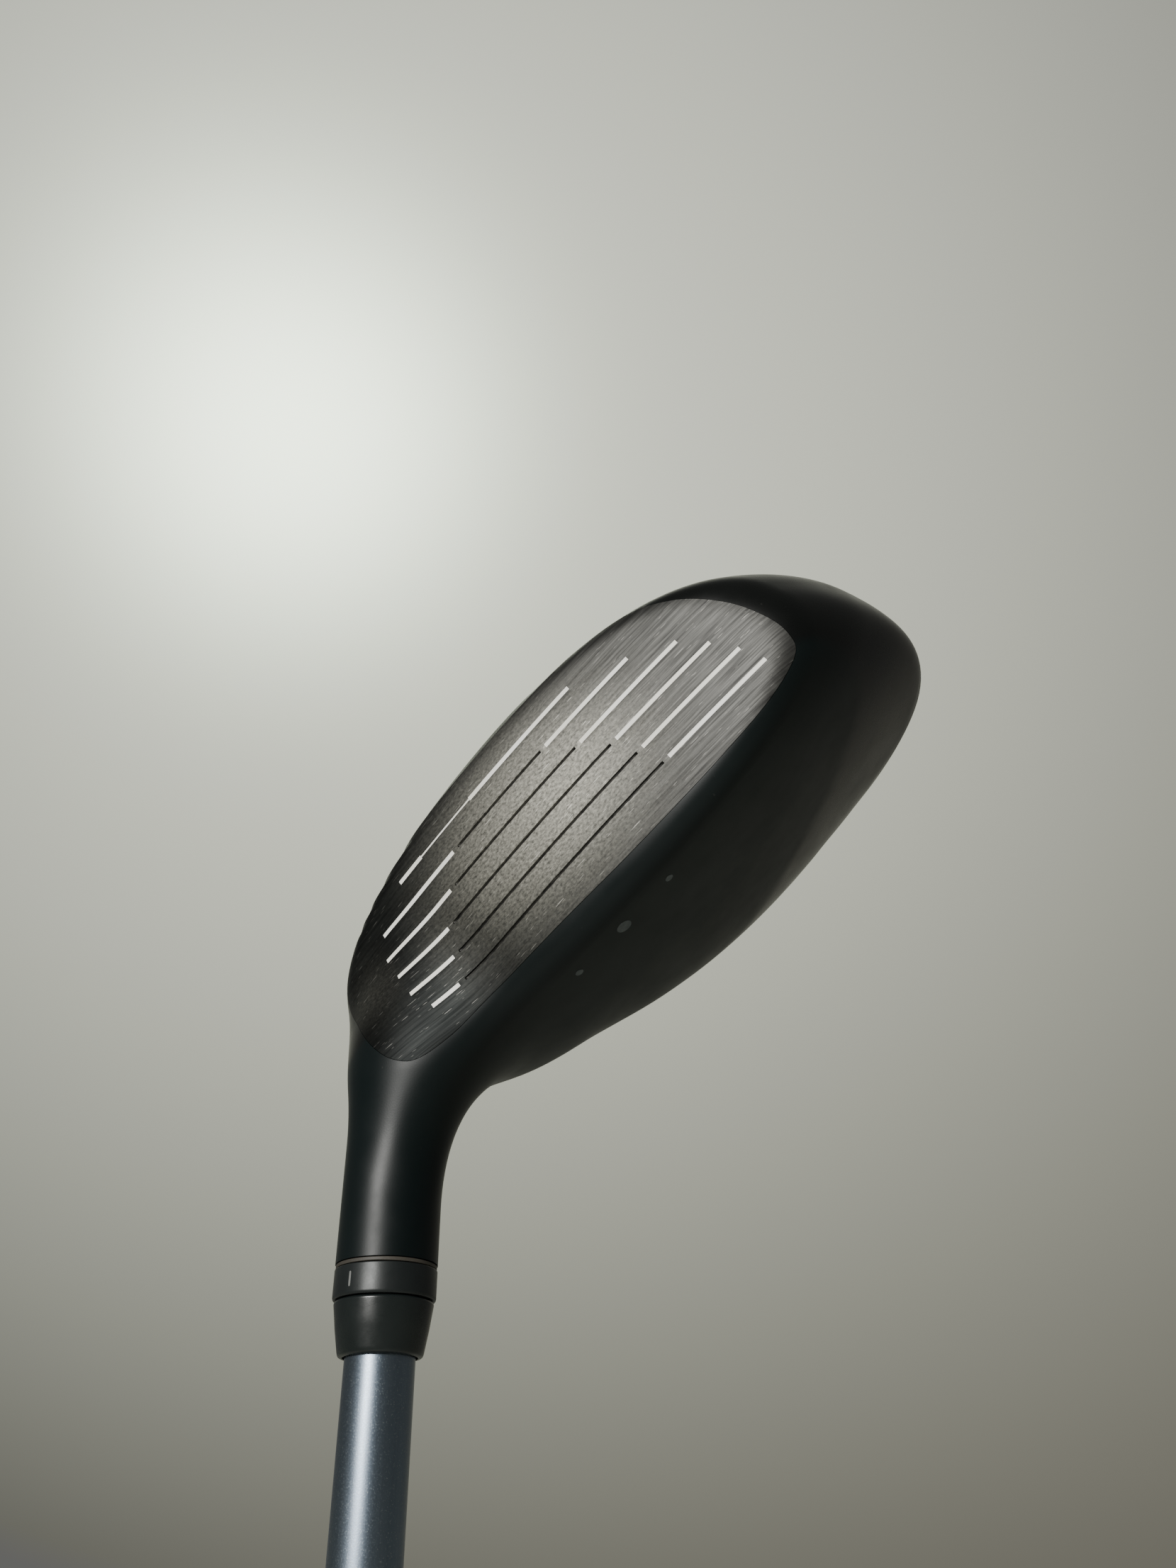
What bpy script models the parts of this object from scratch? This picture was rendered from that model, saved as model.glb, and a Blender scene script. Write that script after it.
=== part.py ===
"""A 22 degree hybrid golf club with an adjustable hosel, for a right-handed player.

The club stands with its head up, as it is carried in a bag. The origin is the centre of the
grip's butt end and +Z runs along the shaft to the head. +X is the toe's side and the face
looks towards -Y. Everything is in metres.

The head is worked out in its own address frame, whose origin is the centre of the hosel's
mouth: x runs from heel to toe, y towards the target and z up from the ground.
"""

import math

import bmesh
import bpy
import numpy as np
from mathutils import Matrix

MM = 0.001

# --- The club as a whole ---------------------------------------------------------------------
CLUB_LENGTH = 1003 * MM         # along the shaft, from the butt to the ground
LIE = math.radians(60.0)        # shaft to ground, seen from the front
LOFT = math.radians(20.5)       # face to the vertical
HOSEL_LENGTH = 58 * MM          # from the hosel's mouth to the ground, along the shaft
FIT_GAP = 0.3 * MM              # between pieces that touch
STACK_GAP = 0.1 * MM            # between the flat ends of stacked rings

# --- Shaft -----------------------------------------------------------------------------------
SHAFT_TIP_R = 4.7 * MM          # a 0.370 inch tip
SHAFT_BUTT_R = 7.6 * MM         # a 0.600 inch butt
SHAFT_WALL = 1.2 * MM
TIP_IN_SLEEVE = 21 * MM         # how far the tip goes past the hosel's mouth
TIP_PLUG_LENGTH = 14 * MM
TIP_PLUG_INSET = 1 * MM         # from the tip's end
BUTT_PLUG_LENGTH = 12 * MM
PARALLEL_TIP = 80 * MM          # the tip end's length that doesn't taper

# --- Grip ------------------------------------------------------------------------------------
GRIP_LENGTH = 268 * MM
GRIP_BUTT_R = 13.2 * MM
GRIP_MOUTH_R = 8.9 * MM
GRIP_CAP_R = 15 * MM
GRIP_CAP_THICK = 3 * MM
GRIP_CAP_ROUND = 1 * MM
GRIP_FLARE = 14 * MM            # above the cap, where the grip widens to meet it
GRIP_EDGE = 0.4 * MM            # the grip's ends are this much narrower than their neighbours
GRIP_TAPER_POWER = 0.85         # below 1, so that it narrows a little faster near its butt
VENT_HOLE_R = 2.2 * MM
TAPE_THICK = 0.4 * MM
TAPE_FROM_BUTT = 2 * MM
TAPE_FROM_MOUTH = 5 * MM

# --- Hosel connector -------------------------------------------------------------------------
HOSEL_R = 7.0 * MM
HOSEL_BORE_R = 6.2 * MM
SLEEVE_DEPTH = 30 * MM          # the sleeve's spigot inside the hosel
SLEEVE_TAP_DEPTH = 7.5 * MM
SLEEVE_CHAMFER = 0.7 * MM
COLLAR_LENGTH = 3.9 * MM
COLLAR_BEVEL = (0.15 * MM, 0.3 * MM)    # off its lower edge: inwards and upwards
SEAL_THICK = 0.5 * MM
SEAL_INSET = 0.1 * MM           # under the collar's outside
FERRULE_LENGTH = 6.9 * MM
FERRULE_TOP_R = 6.75 * MM
FERRULE_MOUTH_R = 5.75 * MM
FERRULE_LIP = 0.6 * MM          # its rounded lower edge
FERRULE_BEVEL = (0.2 * MM, 0.3 * MM)    # off its upper edge: inwards and downwards
SCREW_R = 2.4 * MM
SCREW_HEAD_R = 4.1 * MM
SCREW_HEAD_LENGTH = 5.5 * MM
SCREW_LENGTH = 12 * MM
SCREW_CHAMFER = 0.5 * MM
SCREW_SEAT_THICK = 3 * MM
WASHER_THICK = 0.9 * MM
HEX_SOCKET_R = 2.4 * MM
HEX_SOCKET_DEPTH = 3.2 * MM
SCREW_BACKS_OFF = 5 * MM        # until it meets its retainer
RETAINER_THICK = 1.0 * MM
RETAINER_HOLE_R = 3.3 * MM
BORE_FLOOR_GAP = 1 * MM         # between the sleeve's end and the bore's floor
WELL_END = 75 * MM              # the screw's well, from the mouth to well past the sole
COLUMN_WALL = 1.6 * MM          # round the hosel's bore, inside the head

# --- Head ------------------------------------------------------------------------------------
# The body without its hosel is a flat dome: a plan outline, with a crown above it and a sole
# below it that both curve down to nothing at the outline. The face cuts its front off.
PLAN_CENTRE = (54 * MM, -16 * MM)
PLAN_RADII_MM = (57, 48, 39.5, 36.5, 40.5, 46.5, 46.5, 34, 32, 36.5, 47, 62)  # every 30 deg, from the toe
SKIRT_Z = (-38.8 * MM, 0.03, 0.12)     # height at the plan's centre, slope along x and y
CROWN_RISE = (19.5 * MM, -0.05, 0.17)  # above the skirt, the same way
CROWN_TWIST = 4.6 / (1000 * MM)        # and its change along both at once
SOLE_DROP = (11.9 * MM, 0.075, 0.17)   # below the skirt, the same way
PLAN_POWER = 2.6
RISE_POWER = 2.6
FACE_CENTRE = (54 * MM, 6.3 * MM, -33.4 * MM)
FACE_BULGE_R = 290 * MM         # across, heel to toe
FACE_ROLL_R = 290 * MM          # up and down
FACE_EDGE_R = 3.2 * MM          # softness of the edge between the face and the body
HOSEL_BLEND = (12.5 * MM, 9.3 * MM)     # into the body: all round, and more on the toe's side
HOSEL_FADE_FROM = 32 * MM       # the hosel's tube narrows past here, inside the body
HOSEL_FADE_OVER = 15 * MM       # and eases into that over this length
HOSEL_FADE = 0.78

BODY_WALL = 2.2 * MM
FACE_THICK = 2.2 * MM
FACE_LEDGE_THICK = 2.0 * MM
FACE_LEDGE_WIDTH = 2.5 * MM
CROWN_CENTRE = (65 * MM, -25 * MM)
CROWN_HALF = (31 * MM, 16 * MM)
CROWN_THICK = 0.9 * MM
CROWN_LEDGE_WIDTH = 3.5 * MM
SOLE_CENTRE = (62 * MM, -22 * MM)
SOLE_HALF = (24 * MM, 10 * MM)
SOLE_PLATE_THICK = 0.9 * MM
SLUG_CENTRE = (64 * MM, -24 * MM)
SLUG_HALF = (15 * MM, 8 * MM)
SLUG_HEIGHT = 4.5 * MM
PAD_CENTRE = (8 * MM, 0.0)      # behind the face, from its centre
PAD_HALF = (17 * MM, 7 * MM)
PAD_THICK = 3.5 * MM

# The face plate's edge, as distances along the face (to the toe) and up it, in millimetres
FACE_OUTLINE_MM = (
    (-24, -11.5), (-12, -12.8), (4, -13.4), (20, -12.6), (32, -10.4), (41, -4.6), (45, 3),
    (45.4, 9.6), (41.5, 13), (30, 14.2), (10, 14.4), (-10, 13.6), (-21, 12.6), (-25.5, 8),
    (-26, 0), (-25.6, -8),
)

# --- How finely it is built ------------------------------------------------------------------
AROUND = 40                     # points round the head's section
TURNED = 40                     # points round a turned piece
TURNED_SMALL = 24               # the same round a small one
DISC_AROUND = 40                # points round a plate's edge
DISC_AROUND_SMALL = 24
OVAL_SQUARENESS = 2.6           # 2 is an ellipse, more is squarer
HOSEL_RINGS = 6
NECK_RINGS = 7
BODY_RINGS = 7
TOE_RINGS = 8
CAVITY_RINGS = 16
CAVITY_AROUND = 26
SHAFT_STATIONS = 6              # rings along the taper
SHARP_ANGLE = math.radians(35)
SLOPE_STEP = 0.05 * MM
MARCH_STEPS = 90
MARCH_REACH = 75 * MM
HALVINGS = 18
CUT_PAST = 3 * MM               # how far a cutter runs past what it cuts
CUT_CLEAR = 8 * MM              # the same in front of a curved plate

TOE = np.array((1.0, 0.0, 0.0))
TARGET = np.array((0.0, 1.0, 0.0))
UP = np.array((0.0, 0.0, 1.0))
HOSEL_AXIS = np.array((math.cos(LIE), 0.0, -math.sin(LIE)))     # from the mouth into the head
FACE_NORMAL = np.array((0.0, math.cos(LOFT), math.sin(LOFT)))
FACE_UP = np.array((0.0, -math.sin(LOFT), math.cos(LOFT)))

# The head's skin is drawn by rings. The neck's rings all turn about one line under the crotch,
# the body's have their centres on the way to TOE_CENTRE and the toe's fan out from it.
CROTCH = (34 * MM, -4 * MM)     # x and z of that line
TOE_CENTRE = np.array((84 * MM, -20 * MM, -36 * MM))
CAVITY_CENTRE = np.array((60 * MM, -20 * MM, -36 * MM))

MOUTH_Z = CLUB_LENGTH - HOSEL_LENGTH
HEAD_FRAME = Matrix((
    (math.sin(LIE), 0.0, math.cos(LIE), 0.0),
    (0.0, -1.0, 0.0, 0.0),
    (math.cos(LIE), 0.0, -math.sin(LIE), MOUTH_Z),
    (0.0, 0.0, 0.0, 1.0),
))


# --- Blender helpers -------------------------------------------------------------------------
def clear_scene():
    for thing in list(bpy.data.objects):
        bpy.data.objects.remove(thing, do_unlink=True)


def material(name, colour, roughness, metallic):
    mat = bpy.data.materials.new(name)
    mat.use_nodes = True
    shader = mat.node_tree.nodes["Principled BSDF"]
    shader.inputs["Base Color"].default_value = (*colour, 1.0)
    shader.inputs["Roughness"].default_value = roughness
    shader.inputs["Metallic"].default_value = metallic
    return mat


def mesh_object(name, points, faces, mat, frame=None):
    mesh = bpy.data.meshes.new(name)
    mesh.from_pydata([tuple(p) for p in points], [], faces)
    thing = bpy.data.objects.new(name, mesh)
    bpy.context.collection.objects.link(thing)
    if frame is not None:
        thing.matrix_world = frame
    if mat is not None:
        mesh.materials.append(mat)
    bm = bmesh.new()
    bm.from_mesh(mesh)
    bmesh.ops.recalc_face_normals(bm, faces=bm.faces)
    bm.to_mesh(mesh)
    bm.free()
    mesh.shade_smooth()
    mesh.set_sharp_from_angle(angle=SHARP_ANGLE)
    return thing


def cutter(thing):
    thing.hide_render = True
    thing.display_type = "WIRE"
    return thing


def combine(thing, operation, *others):
    for other in others:
        step = thing.modifiers.new(other.name, "BOOLEAN")
        step.operation = operation
        step.solver = "EXACT"
        step.object = other
    return thing


def turned_mesh(profile, segments=TURNED):
    """A closed profile of (radius, height) turned about Z. A radius of 0 makes a pole."""
    points = []
    rings = []
    for radius, height in profile:
        if radius == 0:
            rings.append([len(points)] * segments)
            points.append((0.0, 0.0, height))
            continue
        rings.append(list(range(len(points), len(points) + segments)))
        for k in range(segments):
            angle = 2 * math.pi * k / segments
            points.append((radius * math.cos(angle), radius * math.sin(angle), height))
    faces = []
    for one, two in zip(rings, rings[1:] + rings[:1]):
        for k in range(segments):
            corners = [one[k], one[(k + 1) % segments], two[(k + 1) % segments], two[k]]
            corner_set = list(dict.fromkeys(corners))
            if len(corner_set) > 2:
                faces.append(corner_set)
    return points, faces


def turned(name, profile, mat, frame=None, segments=TURNED):
    points, faces = turned_mesh(profile, segments)
    return mesh_object(name, points, faces, mat, frame)


def hosel_mouth():
    """A frame at the hosel's mouth whose +Z points into the head, along the shaft's axis."""
    return Matrix.Translation((0.0, 0.0, MOUTH_Z))


def tube(inner, outer, low, high):
    """A plain tube's profile."""
    return [(outer, low), (outer, high), (inner, high), (inner, low)]


# --- The head's shape, as a distance: below zero inside, in the head's address frame ------------
def curve_between(before, one, two, after, part):
    """A smooth curve from one to two that also minds the values on either side of them."""
    return 0.5 * (
        2 * one
        + (two - before) * part
        + (2 * before - 5 * one + 4 * two - after) * part**2
        + (3 * one - before - 3 * two + after) * part**3
    )


def plan_radius(angle):
    """The plan outline's distance from its centre, a smooth curve through PLAN_RADII_MM."""
    radii = np.array(PLAN_RADII_MM) * MM
    count = len(radii)
    place = (angle / (2 * math.pi) * count) % count
    left = np.floor(place).astype(int) % count
    part = place - np.floor(place)
    return curve_between(*(radii[(left + k) % count] for k in (-1, 0, 1, 2)), part)


def sloped(values, x, y):
    level, along_x, along_y = values
    return level + along_x * x + along_y * y


def dome_level(points):
    x = points[..., 0] - PLAN_CENTRE[0]
    y = points[..., 1] - PLAN_CENTRE[1]
    reach = np.hypot(x, y) / plan_radius(np.arctan2(y, x))
    rise = points[..., 2] - sloped(SKIRT_Z, x, y)
    crown = sloped(CROWN_RISE, x, y) + CROWN_TWIST * x * y
    full = np.where(rise > 0, crown, sloped(SOLE_DROP, x, y))
    height = np.abs(rise) / np.maximum(full, 3 * MM)
    total = reach**PLAN_POWER + height**RISE_POWER
    return total ** (2 / (PLAN_POWER + RISE_POWER)) - 1


def dome_distance(points):
    slopes = [
        (dome_level(points + SLOPE_STEP * axis) - dome_level(points - SLOPE_STEP * axis))
        / (2 * SLOPE_STEP)
        for axis in (TOE, TARGET, UP)
    ]
    steepness = np.sqrt(sum(slope**2 for slope in slopes))
    return dome_level(points) / np.maximum(steepness, 10.0)


def face_distance(points):
    offset = points - np.array(FACE_CENTRE)
    bulge = (offset @ TOE) ** 2 / (2 * FACE_BULGE_R)
    roll = (offset @ FACE_UP) ** 2 / (2 * FACE_ROLL_R)
    return offset @ FACE_NORMAL + bulge + roll


def eased(past):
    """0 well before a bend, a straight slope well after it and a smooth curve between."""
    half = HOSEL_FADE_OVER / 2
    curve = (np.clip(past, -half, half) + half) ** 2 / (4 * half)
    return curve + np.clip(past - half, 0, None)


def hosel_distance(points):
    """Distance to the hosel's tube, and how far round to the toe's side the point is."""
    depth = points @ HOSEL_AXIS
    away = points - depth[..., None] * HOSEL_AXIS
    radius = np.linalg.norm(away, axis=-1)
    tube_r = HOSEL_R - HOSEL_FADE * eased(depth - HOSEL_FADE_FROM)
    toe_side = away @ np.cross(HOSEL_AXIS, TARGET) / np.maximum(radius, 1e-6)
    return radius - tube_r, toe_side


def soft_min(one, two, blend):
    share = np.maximum(blend - np.abs(one - two), 0) / blend
    return np.minimum(one, two) - share**2 * blend / 4


def body_distance(points, face_offset=0.0):
    """The body without its hosel. The face can be moved inwards on its own."""
    return -soft_min(-dome_distance(points), -face_distance(points) - face_offset, FACE_EDGE_R)


def head_distance(points):
    hosel, toe_side = hosel_distance(points)
    blend = HOSEL_BLEND[0] + HOSEL_BLEND[1] * (0.5 + 0.5 * toe_side) ** 2
    return soft_min(body_distance(points), hosel, blend)


def reach_surface(distance, starts, directions, level=0.0):
    """The first point along each ray where the distance passes the level, from inside."""
    steps = np.linspace(0, MARCH_REACH, MARCH_STEPS)
    values = distance(starts[:, None, :] + steps[None, :, None] * directions[:, None, :]) - level
    first = np.argmax(values > 0, axis=1)
    low = steps[np.maximum(first - 1, 0)]
    high = steps[first]
    for _ in range(HALVINGS):
        middle = (low + high) / 2
        outside = distance(starts + middle[:, None] * directions) - level > 0
        high = np.where(outside, middle, high)
        low = np.where(outside, low, middle)
    return starts + low[:, None] * directions


# --- Meshes on the head's surface ------------------------------------------------------------
def section_directions(in_plane, count):
    angles = np.arange(count) * 2 * math.pi / count
    return np.cos(angles)[:, None] * TARGET + np.sin(angles)[:, None] * in_plane


def head_sections():
    """Rays that cover the head: rings down the hosel, round the neck, along the body, to the toe."""
    crotch = np.array((CROTCH[0], 0.0, CROTCH[1]))
    turn_depth = crotch @ HOSEL_AXIS
    hosel_up = np.cross(HOSEL_AXIS, TARGET)
    start_arm = (crotch - turn_depth * HOSEL_AXIS) @ hosel_up
    end_arm = crotch[2] - TOE_CENTRE[2]
    sections = []
    for k in range(HOSEL_RINGS):
        centre = turn_depth * k / HOSEL_RINGS * HOSEL_AXIS
        sections.append((centre, section_directions(hosel_up, AROUND)))
    for k in range(NECK_RINGS):
        share = k / NECK_RINGS
        tilt = LIE * (1 - share)
        up = np.array((math.sin(tilt), 0.0, math.cos(tilt)))
        arm = start_arm + (end_arm - start_arm) * share
        centre = crotch - arm * up + share * TOE_CENTRE[1] * TARGET
        sections.append((centre, section_directions(up, AROUND)))
    for k in range(BODY_RINGS):
        share = k / BODY_RINGS
        centre = TOE_CENTRE.copy()
        centre[0] = crotch[0] + (TOE_CENTRE[0] - crotch[0]) * share
        sections.append((centre, section_directions(UP, AROUND)))
    for k in range(TOE_RINGS):
        angle = math.pi / 2 * k / TOE_RINGS
        ring = section_directions(UP, AROUND)
        sections.append((TOE_CENTRE, math.cos(angle) * ring + math.sin(angle) * TOE))
    return sections


def skin_faces(rings, around):
    """Quads between rings of equal count, laid out one after another."""
    return [
        (r * around + k, r * around + (k + 1) % around,
         (r + 1) * around + (k + 1) % around, (r + 1) * around + k)
        for r in range(rings - 1)
        for k in range(around)
    ]


def head_skin():
    """The closed outer shape of the head and its hosel."""
    sections = head_sections()
    starts = np.concatenate([np.tile(centre, (AROUND, 1)) for centre, _ in sections])
    directions = np.concatenate([rays for _, rays in sections])
    points = list(reach_surface(head_distance, starts, directions))
    tip = reach_surface(head_distance, TOE_CENTRE[None, :], TOE[None, :])[0]
    mouth = np.zeros(3)
    points += [tip, mouth]
    tip_index = len(points) - 2
    mouth_index = len(points) - 1
    faces = skin_faces(len(sections), AROUND)
    last = (len(sections) - 1) * AROUND
    for k in range(AROUND):
        following = (k + 1) % AROUND
        faces.append((last + k, last + following, tip_index))
        faces.append((following, k, mouth_index))
    return points, faces


def ball_skin(distance, centre, level, rings, around):
    """The surface where a distance has one level, seen from a centre inside it."""
    directions = []
    for r in range(1, rings):
        angle = math.pi * r / rings
        ring = section_directions(UP, around)
        directions.append(math.sin(angle) * ring + math.cos(angle) * TOE)
    directions = np.concatenate(directions + [TOE[None, :], -TOE[None, :]])
    starts = np.tile(centre, (len(directions), 1))
    points = reach_surface(distance, starts, directions, level)
    toe_pole = len(points) - 2
    heel_pole = len(points) - 1
    faces = skin_faces(rings - 1, around)
    last = (rings - 2) * around
    for k in range(around):
        following = (k + 1) % around
        faces.append((following, k, toe_pole))
        faces.append((last + k, last + following, heel_pole))
    return points, faces


def smooth_outline(corners, count):
    """Evenly spaced points on a smooth closed curve through a few corners."""
    corners = np.array(corners)
    total = len(corners)
    places = np.linspace(0, total, count * 8, endpoint=False)
    left = np.floor(places).astype(int)
    part = (places - left)[:, None]
    fine = curve_between(*(corners[(left + k) % total] for k in (-1, 0, 1, 2)), part)
    closed = np.vstack((fine, fine[:1]))
    run = np.concatenate(([0], np.cumsum(np.linalg.norm(np.diff(closed, axis=0), axis=1))))
    spots = np.linspace(0, run[-1], count, endpoint=False)
    return np.column_stack([np.interp(spots, run, closed[:, axis]) for axis in (0, 1)])


def grown(outline, amount):
    """The outline moved outwards along its own normals."""
    along = np.roll(outline, -1, axis=0) - np.roll(outline, 1, axis=0)
    normal = np.column_stack((along[:, 1], -along[:, 0]))
    normal /= np.linalg.norm(normal, axis=1)[:, None]
    return outline + amount * normal


def oval(centre, half, count=DISC_AROUND):
    """A rounded rectangle's outline, anticlockwise."""
    angles = np.arange(count) * 2 * math.pi / count
    power = 2 / OVAL_SQUARENESS
    x = np.sign(np.cos(angles)) * np.abs(np.cos(angles)) ** power
    y = np.sign(np.sin(angles)) * np.abs(np.sin(angles)) ** power
    return np.column_stack((centre[0] + half[0] * x, centre[1] + half[1] * y))


def disc_solid(outline, front, back, rings=4):
    """A plate between two curved faces. front and back turn outline points into 3-D points."""
    centre = outline.mean(axis=0)
    count = len(outline)
    layers = [centre + (outline - centre) * share for share in np.linspace(1, 0, rings + 1)[:-1]]
    flat = np.vstack(layers + [centre[None, :]])
    front_points = front(flat)
    back_points = back(flat)
    points = list(front_points) + list(back_points)
    size = len(flat)
    faces = []
    for r in range(rings - 1):
        for k in range(count):
            following = (k + 1) % count
            one, two = r * count + k, r * count + following
            three, four = (r + 1) * count + following, (r + 1) * count + k
            faces.append((one, two, three, four))
            faces.append((four + size, three + size, two + size, one + size))
    inner = (rings - 1) * count
    for k in range(count):
        following = (k + 1) % count
        faces.append((inner + k, inner + following, size - 1))
        faces.append((inner + following + size, inner + k + size, 2 * size - 1))
        faces.append((following, k, k + size, following + size))
    return points, faces


def on_face(depth):
    """Outline points on the face, moved behind it by a depth."""
    def place(flat):
        across, rise = flat[:, 0], flat[:, 1]
        sag = across**2 / (2 * FACE_BULGE_R) + rise**2 / (2 * FACE_ROLL_R)
        return (
            np.array(FACE_CENTRE) + across[:, None] * TOE + rise[:, None] * FACE_UP
            - (sag + depth)[:, None] * FACE_NORMAL
        )
    return place


def under_crown(depth, side=1.0):
    """Plan points dropped onto the crown (side 1) or lifted onto the sole (side -1)."""
    def place(flat):
        middle = sloped(SKIRT_Z, flat[:, 0] - PLAN_CENTRE[0], flat[:, 1] - PLAN_CENTRE[1])
        starts = np.column_stack((flat, middle))
        directions = np.tile(side * UP, (len(flat), 1))
        return reach_surface(head_distance, starts, directions, -depth)
    return place


def under_sole(depth):
    return under_crown(depth, -1.0)


def beyond(place, offset):
    """The same surface moved by a fixed offset."""
    return lambda flat: place(flat) + offset


# --- Grip and shaft --------------------------------------------------------------------------
SHAFT_START = GRIP_CAP_THICK + FIT_GAP
SHAFT_END = MOUTH_Z + TIP_IN_SLEEVE
TAPER_END = MOUTH_Z - PARALLEL_TIP


def shaft_radius(height):
    share = min(max((height - SHAFT_START) / (TAPER_END - SHAFT_START), 0.0), 1.0)
    return SHAFT_BUTT_R + (SHAFT_TIP_R - SHAFT_BUTT_R) * share


def shaft_heights(low, high):
    """Heights from low to high at which a piece that follows the shaft has a ring."""
    step = (TAPER_END - SHAFT_START) / SHAFT_STATIONS
    inner = [SHAFT_START + step * k for k in range(SHAFT_STATIONS + 1)]
    return [low] + [height for height in inner if low + MM < height < high - MM] + [high]


def sleeve_on_shaft(low, high, inner_gap, outer_gap):
    """The profile of a tube that follows the shaft's taper."""
    heights = shaft_heights(low, high)
    outer = [(shaft_radius(height) + outer_gap, height) for height in heights]
    inner = [(shaft_radius(height) + inner_gap, height) for height in reversed(heights)]
    return outer + inner


def grip_radius(height):
    share = height / GRIP_LENGTH
    return GRIP_BUTT_R + (GRIP_MOUTH_R - GRIP_BUTT_R) * share**GRIP_TAPER_POWER


def build_grip(mats):
    cap_top = GRIP_CAP_THICK
    turned("grip_cap", [
        (GRIP_CAP_R - GRIP_CAP_ROUND, 0.0),
        (GRIP_CAP_R - 0.3 * GRIP_CAP_ROUND, 0.3 * GRIP_CAP_ROUND),
        (GRIP_CAP_R, GRIP_CAP_ROUND),
        (GRIP_CAP_R, cap_top),
        (VENT_HOLE_R, cap_top),
        (VENT_HOLE_R, 0.0),
    ], mats["cap_plastic"])
    start = cap_top + STACK_GAP
    widest = GRIP_CAP_R - GRIP_EDGE
    outer = [(widest, start)]
    for share in (0.25, 0.6, 1.0):
        height = start + GRIP_FLARE * share
        outer.append((grip_radius(height) + (widest - GRIP_BUTT_R) * (1 - share) ** 2, height))
    outer += [(grip_radius(GRIP_LENGTH * share), GRIP_LENGTH * share) for share in (0.3, 0.6)]
    outer += [(GRIP_MOUTH_R, GRIP_LENGTH - MM), (GRIP_MOUTH_R - GRIP_EDGE, GRIP_LENGTH)]
    bore_gap = 2 * FIT_GAP + TAPE_THICK
    bore = [
        (shaft_radius(height) + bore_gap, height)
        for height in (GRIP_LENGTH, GRIP_LENGTH / 2, start)
    ]
    turned("grip", outer + bore, mats["rubber"])
    tape_low = SHAFT_START + TAPE_FROM_BUTT
    tape_high = GRIP_LENGTH - TAPE_FROM_MOUTH
    turned("grip_tape", sleeve_on_shaft(tape_low, tape_high, FIT_GAP, FIT_GAP + TAPE_THICK),
           mats["tape"])
    plug_r = SHAFT_BUTT_R - SHAFT_WALL - FIT_GAP
    turned("butt_plug", tube(VENT_HOLE_R, plug_r, SHAFT_START, SHAFT_START + BUTT_PLUG_LENGTH),
           mats["foam"], segments=TURNED_SMALL)


def build_shaft(mats):
    turned("shaft", sleeve_on_shaft(SHAFT_START, SHAFT_END, -SHAFT_WALL, 0.0), mats["shaft_paint"])
    plug_r = SHAFT_TIP_R - SHAFT_WALL - FIT_GAP
    plug_end = SHAFT_END - TIP_PLUG_INSET
    plug = [(0.0, plug_end - TIP_PLUG_LENGTH), (plug_r, plug_end - TIP_PLUG_LENGTH),
            (plug_r, plug_end), (0.0, plug_end)]
    turned("tip_plug", plug, mats["brass"], segments=TURNED_SMALL)


# --- Hosel connector: heights from the hosel's mouth, positive into the head -------------------
BORE_FLOOR = SLEEVE_DEPTH + BORE_FLOOR_GAP
SEAT_FACE = BORE_FLOOR + SCREW_SEAT_THICK
WASHER_FACE = SEAT_FACE + STACK_GAP + WASHER_THICK
SCREW_HEAD_BASE = WASHER_FACE + STACK_GAP
SCREW_HEAD_TOP = SCREW_HEAD_BASE + SCREW_HEAD_LENGTH
RETAINER_BASE = SCREW_HEAD_TOP + SCREW_BACKS_OFF + FIT_GAP
SCREW_HOLE_R = SCREW_R + FIT_GAP
SCREW_WELL_R = SCREW_HEAD_R + FIT_GAP


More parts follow.
